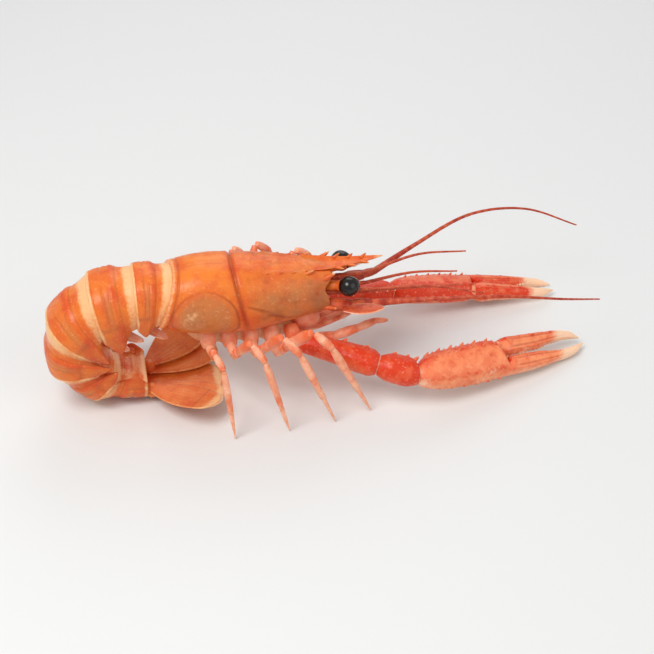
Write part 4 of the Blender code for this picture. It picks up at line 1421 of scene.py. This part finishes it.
    def digit(self, table: Table, lean: Array, domes: tuple[float, float]) -> Skin:
        """A palm or finger, in the claw's frame: X along it, Y towards the moving finger.

        Formula: rounded ovals whose centre, half width and half thickness are smooth curves
        through the table; a bell at each ridge angle lifts the skin by 6 %, and small lumps
        roughen the upper side. The first rings lean to meet the carpus. Each end closes as a
        quarter of an ellipse. The pigment is red on the inner edge, the ridges and the
        knobs, pale on the outer edge and below, and white at the tip.

        Args:
            table: Rows of share, centre, half width and half thickness.
            lean: The direction the first ring faces.
            domes: How many mm the two ends stand out.

        Returns:
            The skin.
        """
        stations, centres, widths, depths = np.array(table).T
        share = np.linspace(stations[0], stations[-1], self.hand_rows)
        dense = np.linspace(0.45, 0.492, 30)  # where the palm narrows to its fixed finger
        share = np.union1d(share, dense[dense > stations[0]])[:, None]
        cap = np.linspace(0, np.pi / 2, 10)[1:-1, None]
        closing = np.concatenate([np.cos(cap)[::-1], np.ones_like(share), np.cos(cap)])
        past = [-domes[0] * np.sin(cap)[::-1], 0 * share, domes[1] * np.sin(cap)]
        past = np.concatenate(past)
        share = np.concatenate([0 * cap + stations[0], share, 0 * cap + stations[-1]])
        angle, cosine, sine = around(self.hand_columns)
        degrees = np.degrees(angle)
        ridge = sum(bell((degrees - a + 180) % 360 - 180, 0, 8) for a in self.ridge_angles)
        c, s = cosine * (1 + 0.06 * ridge), sine * (1 + 0.06 * ridge)
        centre = through(stations, centres, share)
        y = centre + closing * through(stations, widths, share) * power(c, 0.85)
        z = closing * through(stations, depths, share) * power(s, 0.85)
        y, z = y * self.fullness, z * self.fullness * self.up
        turned_in = np.clip(1 - share / 0.12, 0, 1)
        x = share * self.length + past - turned_in * (lean[1] * y + lean[2] * z) / lean[0]
        grid = np.stack([x, y, z], axis=-1)
        middle = np.stack([x, 0 * x + centre * self.fullness, 0 * x], axis=-1)
        out = unit(grid - middle) * closing[..., None] ** 2
        upper = rise(-0.25, 0.5, sine)
        knobs = np.maximum(unevenness(grid, 1.6, 41), 0) ** 1.5 * upper * rise(0.02, 0.1, share)
        grid = grid + out * (0.30 * knobs + 0.10 * unevenness(grid, 5.0, 42) - 0.12)[..., None]
        patchy = unevenness(grid, 4.0, 43)
        tip, finger = rise(0.77, 0.92, share), rise(0.50, 0.60, share)
        groove = (bell(degrees, 68, 7) + bell(degrees, 112, 7)) * rise(0.52, 0.58, share) * (1 - tip)
        grid = grid - out * (0.25 * groove)[..., None]
        inner = bell((degrees - 15 + 180) % 360 - 180, 0, 48)
        flush = self.redness + 0.50 * inner * (1 - 0.4 * finger) + 0.55 * knobs
        flush = flush + 0.25 * ridge * upper - 0.12 * finger + 0.25 * rise(0.12, 0.0, share)
        flush = flush + 0.10 * patchy + 0.30 * groove
        pale = 0.85 * tip + 0.5 * rise(0.1, -0.7, sine) * (1 - 0.6 * self.redness)
        pale = pale + 0.15 * rise(0.25, 0.7, patchy) * (1 - self.redness) + 0.10 * finger
        pale = pale + 0.42 * bell(degrees, 172, 46) * (1 - self.redness) * (0.8 + 0.4 * patchy)
        return skinned(grid, flush=flush, pale=pale, shade=0.25 * groove * upper)

    def teeth(self, table: Table, facing: int) -> Skin:
        """Blunt teeth along a finger's cutting edge, uneven in size.

        Args:
            table: The finger's rows.
            facing: 1 for teeth that point to the moving finger, -1 for those on it.

        Returns:
            The skin in the claw's frame.
        """
        stations, centres, widths, _ = np.array(table).T
        share = np.arange(0.53, 0.93, 0.019)
        half = through(stations, widths, share)
        edge = (through(stations, centres, share) + facing * (half - 0.75)) * self.fullness
        size = 0.95 + 0.35 * np.sin(9 * share * 7) + 0.35 * bell(share, 0.60, 0.05)
        feet = np.stack([share * self.length, edge, 0.10 * np.cos(40 * share)], axis=-1)
        slim = np.minimum(half / 3.0, 1)
        tips = feet + np.stack([0.15 * size, facing * (0.95 + 0.25 * size) * slim, 0 * size], axis=-1)
        return cones(feet, tips, 0.85 * size * slim, 8, 0.35).masked(pale=0.9)

    def palm_spines(self) -> Skin:
        """Rows of forward-leaning spines along the palm's four ridges, tall and short in turn.

        Returns:
            The skin in the claw's frame.
        """
        shares, _, widths, depths = np.array(self.palm).T
        feet, tips, radii = [], [], []
        for angle, height in zip(self.ridge_angles, self.spine_heights):
            c, s = math.cos(math.radians(angle)), math.sin(math.radians(angle))
            share = np.linspace(0.07, 0.46, self.spines) + 0.02 * abs(s)
            half_width = through(shares, widths, share) * self.fullness
            half_depth = through(shares, depths, share) * self.fullness
            height_of_foot = 0.90 * half_depth * abs(s) ** 0.85 * self.up
            foot = np.stack([share * self.length, 0.90 * half_width * c, height_of_foot], axis=-1)
            tall = height * (1 - 0.5 * (np.arange(self.spines) % 2))
            out = unit([0.9, c, self.up * (s + 0.25)])
            feet.append(foot)
            tips.append(foot + out * (tall + 0.9)[:, None])
            radii.append(0.36 * tall + 0.35)
        skin = cones(np.vstack(feet), np.vstack(tips), np.concatenate(radii), 7, 0.7)
        return skin.masked(flush=self.redness + 0.35, pale=0.55 * skin.masks["pale"])

    def build(self) -> None:
        """Make the claw's four pieces."""
        sign, size = self.side.value, self.fullness
        place, aside, height = self.shoulder
        shoulder = placed((place, sign * aside, height), self.body)
        joints = (self.elbow, self.wrist, self.tip)
        elbow, wrist, tip = (np.array(joint) + self.ground for joint in joints)
        arm, fore, axis = elbow - shoulder, wrist - elbow, unit(tip - wrist)
        merus = [
            coxa(place, self.side, self.body, 0.6),
            self.strut(shoulder, elbow, self.merus, (None, fore)),
            self.arm_spines(shoulder, elbow, 5.6 * size, (0.55, 0.80)),
            ball(elbow, (3.9 * size,) * 3, 16, 20).masked(pale=0.9),
        ]
        carpus = [
            self.strut(elbow, wrist, self.carpus, (arm, axis)),
            self.arm_spines(elbow, wrist, 6.1 * size, (0.30, 0.62, 0.85)),
            ball(wrist, (4.1 * size,) * 3, 16, 20).masked(pale=0.9),
        ]

        roll = math.radians(self.roll)
        inward = np.array([0, -sign * math.cos(roll), math.sin(roll)])
        across = unit(inward - axis * (inward @ axis))
        hand = np.eye(4)
        hand[:3, :3] = np.column_stack([axis, across, np.cross(axis, across)])
        hand[:3, 3] = wrist + axis * SEAM
        lean = hand[:3, :3].T @ unit(axis + unit(fore))
        hinge = ball((0.482 * self.length, 4.0 * size, 0), (3.0, 3.6 * size, 4.2 * size))
        palm = [
            self.digit(self.palm, lean, (0.4, 0.3)),
            self.teeth(self.palm, 1),
            self.palm_spines(),
            hinge.masked(pale=0.35, flush=0.3),
        ]
        pivot = np.array([self.moving_finger[0][0] * self.length, self.knuckle * size, 0])
        swing = shifted(*pivot) @ turned("z", self.opening) @ shifted(*-pivot)
        straight = np.array([1.0, 0.0, 0.0])
        finger = [
            self.digit(self.moving_finger, straight, (1.2, 0.3)),
            self.teeth(self.moving_finger, -1),
        ]
        segments = {
            "merus": merus,
            "carpus": carpus,
            "palm": [skin.carried(hand) for skin in palm],
            "finger": [skin.carried(hand @ swing) for skin in finger],
        }
        for segment, skins in segments.items():
            self.dress(f"claw_{segment}_{self.side.word}", skins, self.finishes.claw)


# ---- walking legs and mouth legs ----------------------------------------------------------
def article(start: Array, end: Array, radii: tuple[float, ...], up: Array, redness: float) -> Skin:
    """One hard section of a limb: a slightly flattened tube, waisted behind each joint.

    Formula: an oval carried along the straight line, with a radius that is a smooth curve
    through the given ones and falls to the joint as a quarter circle at each end.

    Args:
        start: The joint nearer the body.
        end: The joint nearer the tip.
        radii: Radii at even places along it.
        up: A direction the limb never runs along.
        redness: How red its far end is.

    Returns:
        The skin.
    """
    share = np.concatenate([[0.0, 0.008, 0.02], np.linspace(0.04, 0.96, 40), [0.98, 0.992, 1.0]])
    route = np.asarray(start) + share[:, None] * (np.asarray(end) - np.asarray(start))
    radius = through(np.linspace(0, 1, len(radii)), radii, share)
    cap = np.minimum(np.minimum(share, 1 - share) / 0.03, 1)
    radius = radius * (0.35 + 0.65 * np.sqrt(1 - (1 - cap) ** 2))
    radius = radius * (1 - 0.08 * bell(share, 0.93, 0.012) - 0.06 * bell(share, 0.07, 0.012))
    grid = carry(route, radius, up, 0.86, 24)
    grid = grid + unit(grid - route[:, None]) * (0.05 * unevenness(grid, 2.4, 51))[..., None]
    at = share[:, None]
    flush = redness * (0.2 + 0.8 * rise(0.40, 0.85, at)) + 0.25 * unevenness(grid, 4.0, 52)
    flush = flush + 0.25 * redness * bell(at, 0.06, 0.05)
    pale = 0.30 * rise(0.05, 0.0, at) + 0.42 * bell(at, 0.955, 0.012)
    return skinned(grid, flush=np.clip(flush, 0, 1), pale=pale)


def coxa(place: float, side: Side, body: Array, redness: float) -> Skin:
    """The stout first section of a leg or claw, out and down from under the carapace's edge.

    Args:
        place: How far along the carapace it is, in mm.
        side: The animal's side.
        body: The carapace's frame.
        redness: How red its far end is.

    Returns:
        The skin.
    """
    start = placed((place - 0.8, side.value * 5.6, -14.6), body)
    end = placed((place + 0.6, side.value * 11.2, -20.6), body)
    return article(start, end, (3.2, 3.7, 3.9, 3.7, 3.0), LEG_UP, redness)


@dataclass(frozen=True)
class WalkingLeg(Assembly):
    """A slender walking leg, from its hip to the tip of its toe.

    The knee and toe stand in the frame of the floor under the body.
    """

    side: Side
    number: int
    hip: tuple[float, float]
    knee: tuple[float, float, float]
    toe: tuple[float, float]
    shift: tuple[float, float]  # of the left leg's knee and toe against the right one's
    pincer: bool
    toe_height: float = 0.2
    toe_inset: float = 0.25
    upper_radii: tuple[float, ...] = (2.6, 2.3, 2.4, 2.5, 1.6)
    lower_radii: tuple[float, ...] = (1.4, 2.1, 1.7, 2.0, 1.8)
    bristles: int = 42

    def build(self) -> None:
        """Make the upper and the lower limb."""
        sign = self.side.value
        dx, dy = self.shift if self.side is Side.LEFT else (0, 0)
        along, out = self.hip
        socket = placed((along, sign * out, -19), self.body)
        root = placed((along + 1.5, sign * (out + 6), -20.5), self.body)
        knee = np.array([self.knee[0] + dx, sign * (self.knee[1] + dy), self.knee[2]]) + self.ground
        reach = self.toe[1] + dy - self.toe_inset
        toe = np.array([self.toe[0] + dx, sign * reach, self.toe_height]) + self.ground
        thick = 1 - 0.06 * self.number
        a, b, c, d, e = (radius * thick for radius in self.upper_radii)
        end = knee - unit(knee - root) * 0.9
        ischium = root + (end - root) * 0.24
        overlap = unit(ischium - root) * 0.8
        upper = [
            coxa(along, self.side, self.body, 0.5),
            article(socket, root + unit(root - socket) * 0.8, (a, 1.05 * a, b), LEG_UP, 0.3),
            article(root - overlap, ischium, (b, 1.02 * c, 0.95 * c), LEG_UP, 0.5),
            article(ischium, end, (0.8 * c, c, 1.02 * d, d, 0.95 * e), LEG_UP, 0.85),
        ]

        bend = knee + (toe - knee) * 0.22 + np.array([1.8, sign * 2.4, 2.6])
        start = knee + unit(bend - knee) * 1.1
        wrist = bend + (toe - bend) * (0.52 if self.pincer else 0.62)
        a, b, c, d, e = (radius * thick for radius in self.lower_radii)
        lower = [
            article(start, bend, (a, b, b, 0.85 * b), LEG_UP, 0.7),
            article(bend, wrist, (0.8 * c, d, 1.05 * d, e, 0.9 * e), LEG_UP, 0.35),
        ]
        if self.pincer:
            lower += self.pincers(wrist, toe, e)
        else:
            lower.append(article(wrist, toe, (0.75 * e, 0.7 * e, 0.45 * e, 0.3), LEG_UP, 0.2))
        lower.append(self.hairs(wrist, toe, e))
        for limb, skins in (("upper", upper), ("lower", lower)):
            self.dress(f"leg_{self.number + 1}_{limb}_{self.side.word}", skins, self.finishes.leg)

    def pincers(self, wrist: Array, toe: Array, radius: float) -> list[Skin]:
        """The small pincer of a front leg: two slim fingers side by side.

        Args:
            wrist: Where the last section starts.
            toe: The tip of the longer finger.
            radius: The radius at the wrist.

        Returns:
            The palm and the two fingers.
        """
        apart = unit(np.cross(unit(toe - wrist), LEG_UP)) * 0.42 * radius
        middle = wrist + (toe - wrist) * 0.12
        slim = (0.55 * radius, 0.55 * radius, 0.42 * radius, 0.22)
        end = middle + (toe - middle) * 0.12
        return [
            article(wrist - unit(toe - wrist), end, (0.9 * radius,) * 3, LEG_UP, 0.2),
            article(middle - apart, toe, slim, LEG_UP, 0.15),
            article(middle + apart, toe + apart * 0.5 - (toe - middle) * 0.04, slim, LEG_UP, 0.15),
        ]

    def hairs(self, wrist: Array, toe: Array, radius: float) -> Skin:
        """Short bristles scattered round the last section, on a spiral of 2.4 radians a step.

        Args:
            wrist: Where the last section starts.
            toe: Its tip.
            radius: The radius at the wrist.

        Returns:
            One skin that holds them all.
        """
        share = np.linspace(0.05, 0.72, self.bristles)
        turn = np.arange(self.bristles) * 2.4
        along = unit(toe - wrist)
        one = unit(np.cross(along, [1.0, 0.0, 0.0]))
        out = np.cos(turn)[:, None] * one + np.sin(turn)[:, None] * np.cross(along, one)
        fat = radius * (0.8 - 0.55 * share)[:, None]
        feet = wrist + np.outer(share, toe - wrist) + out * fat * 0.7
        tips = feet + unit(out * 0.8 + along * 0.9) * (1.0 - 0.6 * share)[:, None]
        tips[:, 2] = np.maximum(tips[:, 2], 0.15)
        return cones(feet, tips, 0.09, 3, 0.8).masked(pale=0.6)


@dataclass(frozen=True)
class MouthLeg(Assembly):
    """The third maxilliped, folded forward and down under the head."""

    side: Side
    route: Table = (
        (55, 3.4, -24.4),
        (63, 4.2, -25.4),
        (74, 5.6, -23.0),
        (84, 6.4, -18.5),
        (91, 6.0, -15.5),
        (97, 4.8, -16.5),
    )
    radii: tuple[float, ...] = (2.2, 2.6, 2.4, 2.0, 1.6, 0.7)

    def build(self) -> None:
        """Make the five sections and the comb of bristles on their inner side."""
        points = placed(np.array(self.route) * (1, self.side.value, 1), self.body)
        parts = []
        for k, (start, end) in enumerate(itertools.pairwise(points)):
            near, far = self.radii[k], self.radii[k + 1]
            back = unit(end - start) * 0.5
            shape = (0.85 * near, 0.5 * (near + far) + 0.15, 0.95 * far)
            parts.append(article(start - (back if k else 0), end, shape, UP, 0.6))
        line = smooth_route(points, 90)[8:]
        inward = np.array([0, -self.side.value, -0.45])
        feet = line + inward * 1.2
        sway = 0.3 * unevenness(line * 7, 1.0, 61)[:, None] * np.array([1.0, 0.2, 0.3])
        parts.append(cones(feet, feet + (unit(inward) + sway) * 1.5, 0.10, 3, 0.8).masked(pale=0.5))
        self.dress(f"maxilliped_{self.side.word}", parts, self.finishes.leg)


# ---- head ---------------------------------------------------------------------------------
@dataclass(frozen=True)
class Head(Assembly):
    """The eye, the feelers and the mouth parts of one side.

    Places are those of the left side, in the carapace's frame.
    """

    side: Side
    eye_centre: tuple[float, float, float] = (76.8, 9.0, 6.6)
    eye_radii: tuple[float, float, float] = (5.2, 4.3, 4.2)
    eye_swivel: float = -24.0
    stalk: Table = ((66.5, 3.2, 3.6), (77.2, 8.2, 6.3))
    base: Table = (
        (66.5, 6.8, -3.6),
        (75.5, 8.8, -3.7),
        (82, 9.6, -3.4),
        (88, 10.0, -2.6),
        (93, 10.6, -1.6),
    )
    whips: dict[Side, Table] = field(
        default_factory=lambda: {
            Side.RIGHT: ((93, 10.6, -1.6), (112, 17, 4), (140, 23, 8), (168, 21, 3), (188, 13, -5)),
            Side.LEFT: ((93, 10.6, -1.6), (112, 18, 6), (140, 29, 13), (166, 33, 11), (190, 30, 3)),
        }
    )
    whip_points: int = 420
    ring_step: float = 3.5  # points from one of its rings to the next
    band_step: float = 14  # and from one of its bands to the next
    antennules: dict[str, tuple[float, float, float]] = field(
        default_factory=lambda: {"outer": (3.4, 6.0, 46), "inner": (0.5, 1.0, 40)}
    )  # place across, height at mid length and reach of each
    scale_foot: tuple[float, float, float] = (74, 14.6, -0.8)
    scale_reach: tuple[float, float, float] = (17, 2.4, 1.6)

    def at(self, points: Any) -> Array:
        """Points of the left side, taken to this side in the world."""
        return placed(np.array(points, float) * (1, self.side.value, 1), self.body)

    def eye(self) -> None:
        """Make the eye, a black kidney that is dented where it meets its stalk, and the stalk.

        Formula: a ball whose radius is less by a bell of its own X, stretched to three radii;
        the stalk's radius rises to a cup and has a waist.
        """
        x, y, z = self.eye_centre
        sphere = ball((0, 0, 0), (1, 1, 1), 48, 64)
        dent = 0.20 * bell(sphere.points[:, 0], -1.0, 0.55)
        shape = sphere.points * (1 - dent)[:, None] * self.eye_radii
        sign, word = self.side.value, self.side.word
        matrix = self.body @ (shifted(x, sign * y, z) @ turned("z", sign * self.eye_swivel))
        skin = replace(sphere, points=placed(shape, matrix))
        self.dress(f"eye_{word}", [skin], self.finishes.eye, "cornea")
        foot, end = self.at(self.stalk)
        share = np.linspace(0, 1, 24)[:, None]
        radii = 2.2 + 1.7 * rise(0.62, 0.95, share[:, 0]) - 0.3 * bell(share[:, 0], 0.55, 0.05)
        cup = carry(foot + share * (end - foot), radii, UP, 1.0, 28)
        stalk = skinned(cup, flush=0.5 * share, pale=0.3 * rise(0.5, 0.0, share))
        make_piece(f"eye_{word}_stalk", [stalk], self.finishes.shell)

    def antenna(self) -> None:
        """Make three stout sections and a long whip of many tiny rings.

        Formula: the whip's radius falls along it, and swells by 6 % at each ring.
        """
        base = self.at(self.base)
        step = base[2] - base[1]
        nearer, further = unit(base[3] - base[2]), unit(base[4] - base[3])
        parts = [
            article(base[0], base[2] - step * 0.35, (2.1, 3.0, 3.0, 2.6), UP, 0.7),
            article(base[2] - step * 0.5, base[3], (2.4, 2.9, 2.7, 2.3), UP, 0.8),
            article(base[3] - nearer, base[4] + further, (2.0, 2.0, 1.5), UP, 0.9),
        ]
        line = smooth_route(self.at(self.whips[self.side]), self.whip_points)
        along, count = np.linspace(0, 1, len(line)), np.arange(len(line))
        taper = 1.5 - 0.45 * rise(0, 0.25, along) - 0.7 * along
        rings = 1 + 0.06 * np.sin(count * 2 * np.pi / self.ring_step)
        banding = 0.55 + 0.18 * np.sin(count * 2 * np.pi / self.band_step)[:, None]
        whip = carry(line, taper * rings * 0.97, UP, 1.0, 10)
        parts.append(skinned(whip, flush=banding, pale=0.15))
        self.dress(f"antenna_{self.side.word}", parts, self.finishes.feeler)

    def antennule(self, branch: str) -> None:
        """Make one of the two short whips beside the beak, on its jointed stalk.

        Args:
            branch: Which of them, outer or inner.
        """
        offset, lift, reach = self.antennules[branch]
        start, bend = self.at([(66.5, offset + 1.0, offset - 2.4), (80, offset + 1.6, offset - 2.0)])
        route = self.at(
            [
                (88, offset + 2.2, offset - 1.6),
                (88 + reach / 2, 4 + offset * 2.0, lift),
                (88 + reach, 3 + offset * 3.4, lift * 0.6),
            ]
        )
        line = smooth_route(route, 160)
        radii = np.linspace(0.78, 0.33, len(line)) * (1 + 0.05 * np.sin(np.arange(len(line)) * 1.8))
        parts = [
            article(start, bend, (1.2, 1.35, 1.2), UP, 0.5),
            article(bend - unit(bend - start) * 0.4, route[0], (1.1, 1.1, 0.8), UP, 0.6),
            skinned(carry(line, radii, UP, 1.0, 8), flush=0.45, pale=0.2),
        ]
        self.dress(f"antennule_{branch}_{self.side.word}", parts, self.finishes.feeler)

    def scale(self) -> None:
        """Make the oval plate beside the antenna's base, with bristles on its inner edge.

        Formula: half the width follows a table of the share along it; the plate bows down by
        the square of the distance from its middle line, and thins at its edges.
        """
        share = np.linspace(0, 1, 60)[:, None]
        _, c, s = around(48)
        stations, widths = (0, 0.3, 0.6, 0.9, 1), (1.6, 3.2, 3.1, 1.6, 0.5)
        half = through(stations, widths, share)
        (x, y, z), (dx, dy, dz) = self.scale_foot, self.scale_reach
        height = z + dz * share - 0.04 * (c * half) ** 2 + 0.40 * power(s, 0.4) * (1 - c**8)
        grid = np.stack([x + dx * share + 0 * c, y + dy * share + c * half, height], axis=-1)
        pale = 0.6 * rise(0.6, 1.0, np.abs(c)) + 0.3 * rise(0.7, 1, share)
        plate = skinned(self.at(grid), flush=0.35, pale=pale)
        at = np.linspace(0.35, 0.98, 46)
        edge = y + dy * at - 0.9 * through(stations, widths, at)
        feet = np.column_stack([x + dx * at, edge, z - 0.1 + dz * at])
        tips = feet + np.array([0.8, -0.9, 0.0])
        hair = cones(self.at(feet), self.at(tips), 0.10, 3, 0.8).masked(pale=0.6)
        name = f"antenna_scale_{self.side.word}"
        self.dress(name, [plate, hair], self.finishes.feeler, "plate")

    def mouth(self) -> None:
        """Make the jaw's rounded half, the mouth's frame and the small palp folded before it."""
        sign = self.side.value
        jaw = ball((70.2, 2.3 * sign, -9.6), (2.6, 2.2, 3.0)).carried(self.body)
        frame_of_mouth = ball((61.0, 3.0 * sign, -13.6), (6.4, 4.4, 5.2)).carried(self.body)
        parts = [jaw.masked(pale=0.3, flush=0.4), frame_of_mouth.masked(pale=0.2, flush=0.3)]
        line = self.at([(62, 2.2, -19.5), (69, 2.7, -18.2), (76, 3.1, -14.8), (80.5, 2.5, -12.2)])
        for (start, end), size in zip(itertools.pairwise(line), (1.5, 1.35, 1.1)):
            parts.append(article(start, end, (size, 1.05 * size, 0.8 * size), UP, 0.7))
        feet = smooth_route(line, 60)[14:]
        tips = feet + unit(np.array([0.8, -sign, 0.5])) * 1.6
        parts.append(cones(feet, tips, 0.10, 3, 0.8).masked(pale=0.5))
        make_piece(f"mouth_palp_{self.side.word}", parts, self.finishes.leg)

    def build(self) -> None:
        """Make everything on this side of the head."""
        self.mouth()
        self.eye()
        self.antenna()
        for branch in self.antennules:
            self.antennule(branch)
        self.scale()


@dataclass(frozen=True)
class Swimmerets(Assembly):
    """The small paddles under the first three abdominal segments."""

    posture: Posture
    table: Table = (
        (4.5, 4.6, 60, 7.0),
        (7.0, 4.6, 57, 7.0),
        (7.5, 6.4, 16, 6.2),
    )  # centre behind the joint and below the belly, lean in degrees, half length
    bristles: int = 80

    def paddle(self, sign: int, reach: float) -> list[Skin]:
        """A flat oval with a midrib, its smaller twin and a fringe of bristles.

        Formula: a ball flattened to an oval, thickest along its middle by a bell.

        Args:
            sign: 1 on the left side, -1 on the right.
            reach: Half its length.

        Returns:
            The skins in the paddle's own frame.
        """
        oval = ball((0, 0, 0), (1, 1, 1), 40, 48)
        points = oval.points[:, [1, 2, 0]] * (1.0, 3.2, reach)
        points[:, 0] *= 0.55 + 0.45 * bell(points[:, 1], 0, 0.7)
        paddle = replace(oval, points=points).masked(pale=0.35, flush=0.25)
        twin = paddle.carried(turned("x", sign * 14) @ shifted(0.9, 0, 0.04 * reach))
        twin = replace(twin, points=twin.points * (1, 0.8, 0.92))
        round_edge = np.linspace(0.15 * np.pi, 1.85 * np.pi, self.bristles) + np.pi
        edge = np.column_stack([0 * round_edge, np.sin(round_edge), np.cos(round_edge)])
        feet, tips = edge * (0, 2.85, 0.93 * reach), edge * (0, 3.25, 1.02 * reach)
        return [paddle, twin, cones(feet, tips, 0.10, 3, 0.8).masked(pale=0.6)]

    def build(self) -> None:
        """Make each paddle, hung from the belly of its segment."""
        frames = self.posture.chain(self.body)
        for number, (behind, below, lean, reach) in enumerate(self.table):
            belly = self.posture.segments[number].belly
            for side in Side:
                sign = side.value
                matrix = frames[number] @ shifted(-behind, sign * 5.6, -belly - below)
                matrix = matrix @ turned("y", -lean) @ turned("x", sign * 10)
                skins = [skin.carried(matrix) for skin in self.paddle(sign, reach)]
                name = f"swimmeret_{number + 1}_{side.word}"
                self.dress(name, skins, self.finishes.leg, "paddle")


# ---- studio -------------------------------------------------------------------------------
@dataclass(frozen=True)
class Studio:
    """A pale floor, soft light and the camera."""

    elevation: float = 41.0  # degrees above the horizon
    azimuth: float = -10.5  # degrees from the animal's right side, towards its tail
    distance: float = 0.62
    target: tuple[float, float, float] = (0.0, 0.0, 0.022)
    frame_width: float = 0.282  # metres across the view at the target
    sensor: float = 36.0
    floor_reach: float = 3.0
    floor_colour: str = "e2e2e0"
    sky_colour: str = "f4f6f8"
    sky_strength: float = 0.54
    lamps: tuple[tuple[str, tuple[float, float, float], float, float], ...] = (
        ("key_lamp", (-0.35, -0.25, 0.75), 0.4, 4.4),
        ("fill_lamp", (0.6, -0.5, 0.5), 0.7, 1.5),
        ("back_lamp", (0.2, 0.7, 0.6), 0.6, 1.7),
    )  # place in metres, size in metres and watts

    def camera(self) -> None:
        """Look down at the animal from its right side, a little from behind."""
        angle, turn = math.radians(self.elevation), math.radians(self.azimuth)
        level = math.cos(angle)
        away = Vector((level * math.sin(turn), -level * math.cos(turn), math.sin(angle)))
        data = bpy.data.cameras.new("camera")
        data.sensor_width = self.sensor
        data.lens = self.sensor * self.distance / self.frame_width
        data.clip_start = 0.01
        camera = bpy.data.objects.new("camera", data)
        camera.location = Vector(self.target) + away * self.distance
        camera.rotation_euler = (-away).to_track_quat("-Z", "Y").to_euler()
        bpy.context.scene.collection.objects.link(camera)
        bpy.context.scene.camera = camera

    def light(self) -> None:
        """Add soft square lamps that face the animal, and a pale sky."""
        for name, place, size, watts in self.lamps:
            data = bpy.data.lights.new(name, "AREA")
            data.size = size
            data.energy = watts
            lamp = bpy.data.objects.new(name, data)
            lamp.location = place
            lamp.rotation_euler = (-Vector(place)).to_track_quat("-Z", "Y").to_euler()
            bpy.context.scene.collection.objects.link(lamp)
        world = bpy.data.worlds.new("soft sky")
        world.use_nodes = True
        sky = world.node_tree.nodes["Background"]
        sky.inputs["Color"].default_value = linear(self.sky_colour)
        sky.inputs["Strength"].default_value = self.sky_strength
        bpy.context.scene.world = world
        bpy.context.scene.view_settings.view_transform = "Standard"

    def floor(self) -> None:
        """Lay a plain pale floor of matt plastic."""
        mesh = bpy.data.meshes.new("floor")
        corners = [(x, y, 0.0) for x, y in ((-1, -1), (1, -1), (1, 1), (-1, 1))]
        mesh.from_pydata((np.array(corners) * self.floor_reach).tolist(), [], [(0, 1, 2, 3)])
        material = bpy.data.materials.new("matt white floor")
        material.use_nodes = True
        shader = material.node_tree.nodes["Principled BSDF"]
        shader.inputs["Base Color"].default_value = linear(self.floor_colour)
        shader.inputs["Roughness"].default_value = 0.7
        mesh.materials.append(material)
        floor = bpy.data.objects.new("floor", mesh)
        bpy.context.scene.collection.objects.link(floor)

    def build(self) -> None:
        """Set up floor, light and camera."""
        self.floor()
        self.light()
        self.camera()


CLAWS = (
    (Side.RIGHT, 84, 1.0, 28, 1, (87, -25, 19.5), (103, -30, 16.0), (184, -9, 3.1), 0.06),
    (Side.LEFT, 79, 0.88, 12, 6, (88, 23, 18.5), (104, 27, 15.0), (181.5, 33.5, 1.8), 0.46),
)  # the first fields of each claw
LEGS = (
    ((46, 10.0), (59, 28, 45), (83, 32), (1.5, -1.0), True),
    ((37, 10.4), (46, 31, 47), (67, 36), (-2.0, 1.0), True),
    ((28, 10.4), (33, 31.5, 46), (47, 38), (1.0, 0.5), False),
    ((19, 10.0), (18, 29.5, 42), (24, 38.5), (-1.5, 0.0), False),
)  # hip, knee, toe, shift and pincer of each pair, from the front


def main() -> None:
    """Build the whole animal, piece by piece, and the studio."""
    logging.basicConfig(level=logging.INFO, format="%(name)s: %(message)s")
    posture = Posture()
    whole = (Finishes.mixed_up(), posture.body(Breastplate.corners()))
    Carapace(*whole).build()
    Breastplate(*whole).build()
    for assembly in (Abdomen, TailFan, Swimmerets):
        assembly(*whole, posture).build()
    for claw in CLAWS:
        Claw(*whole, *claw).build()
    for side in Side:
        for number, leg in enumerate(LEGS):
            WalkingLeg(*whole, side, number, *leg).build()
        MouthLeg(*whole, side).build()
        Head(*whole, side).build()
    Studio().build()


if __name__ == "__main__":
    main()
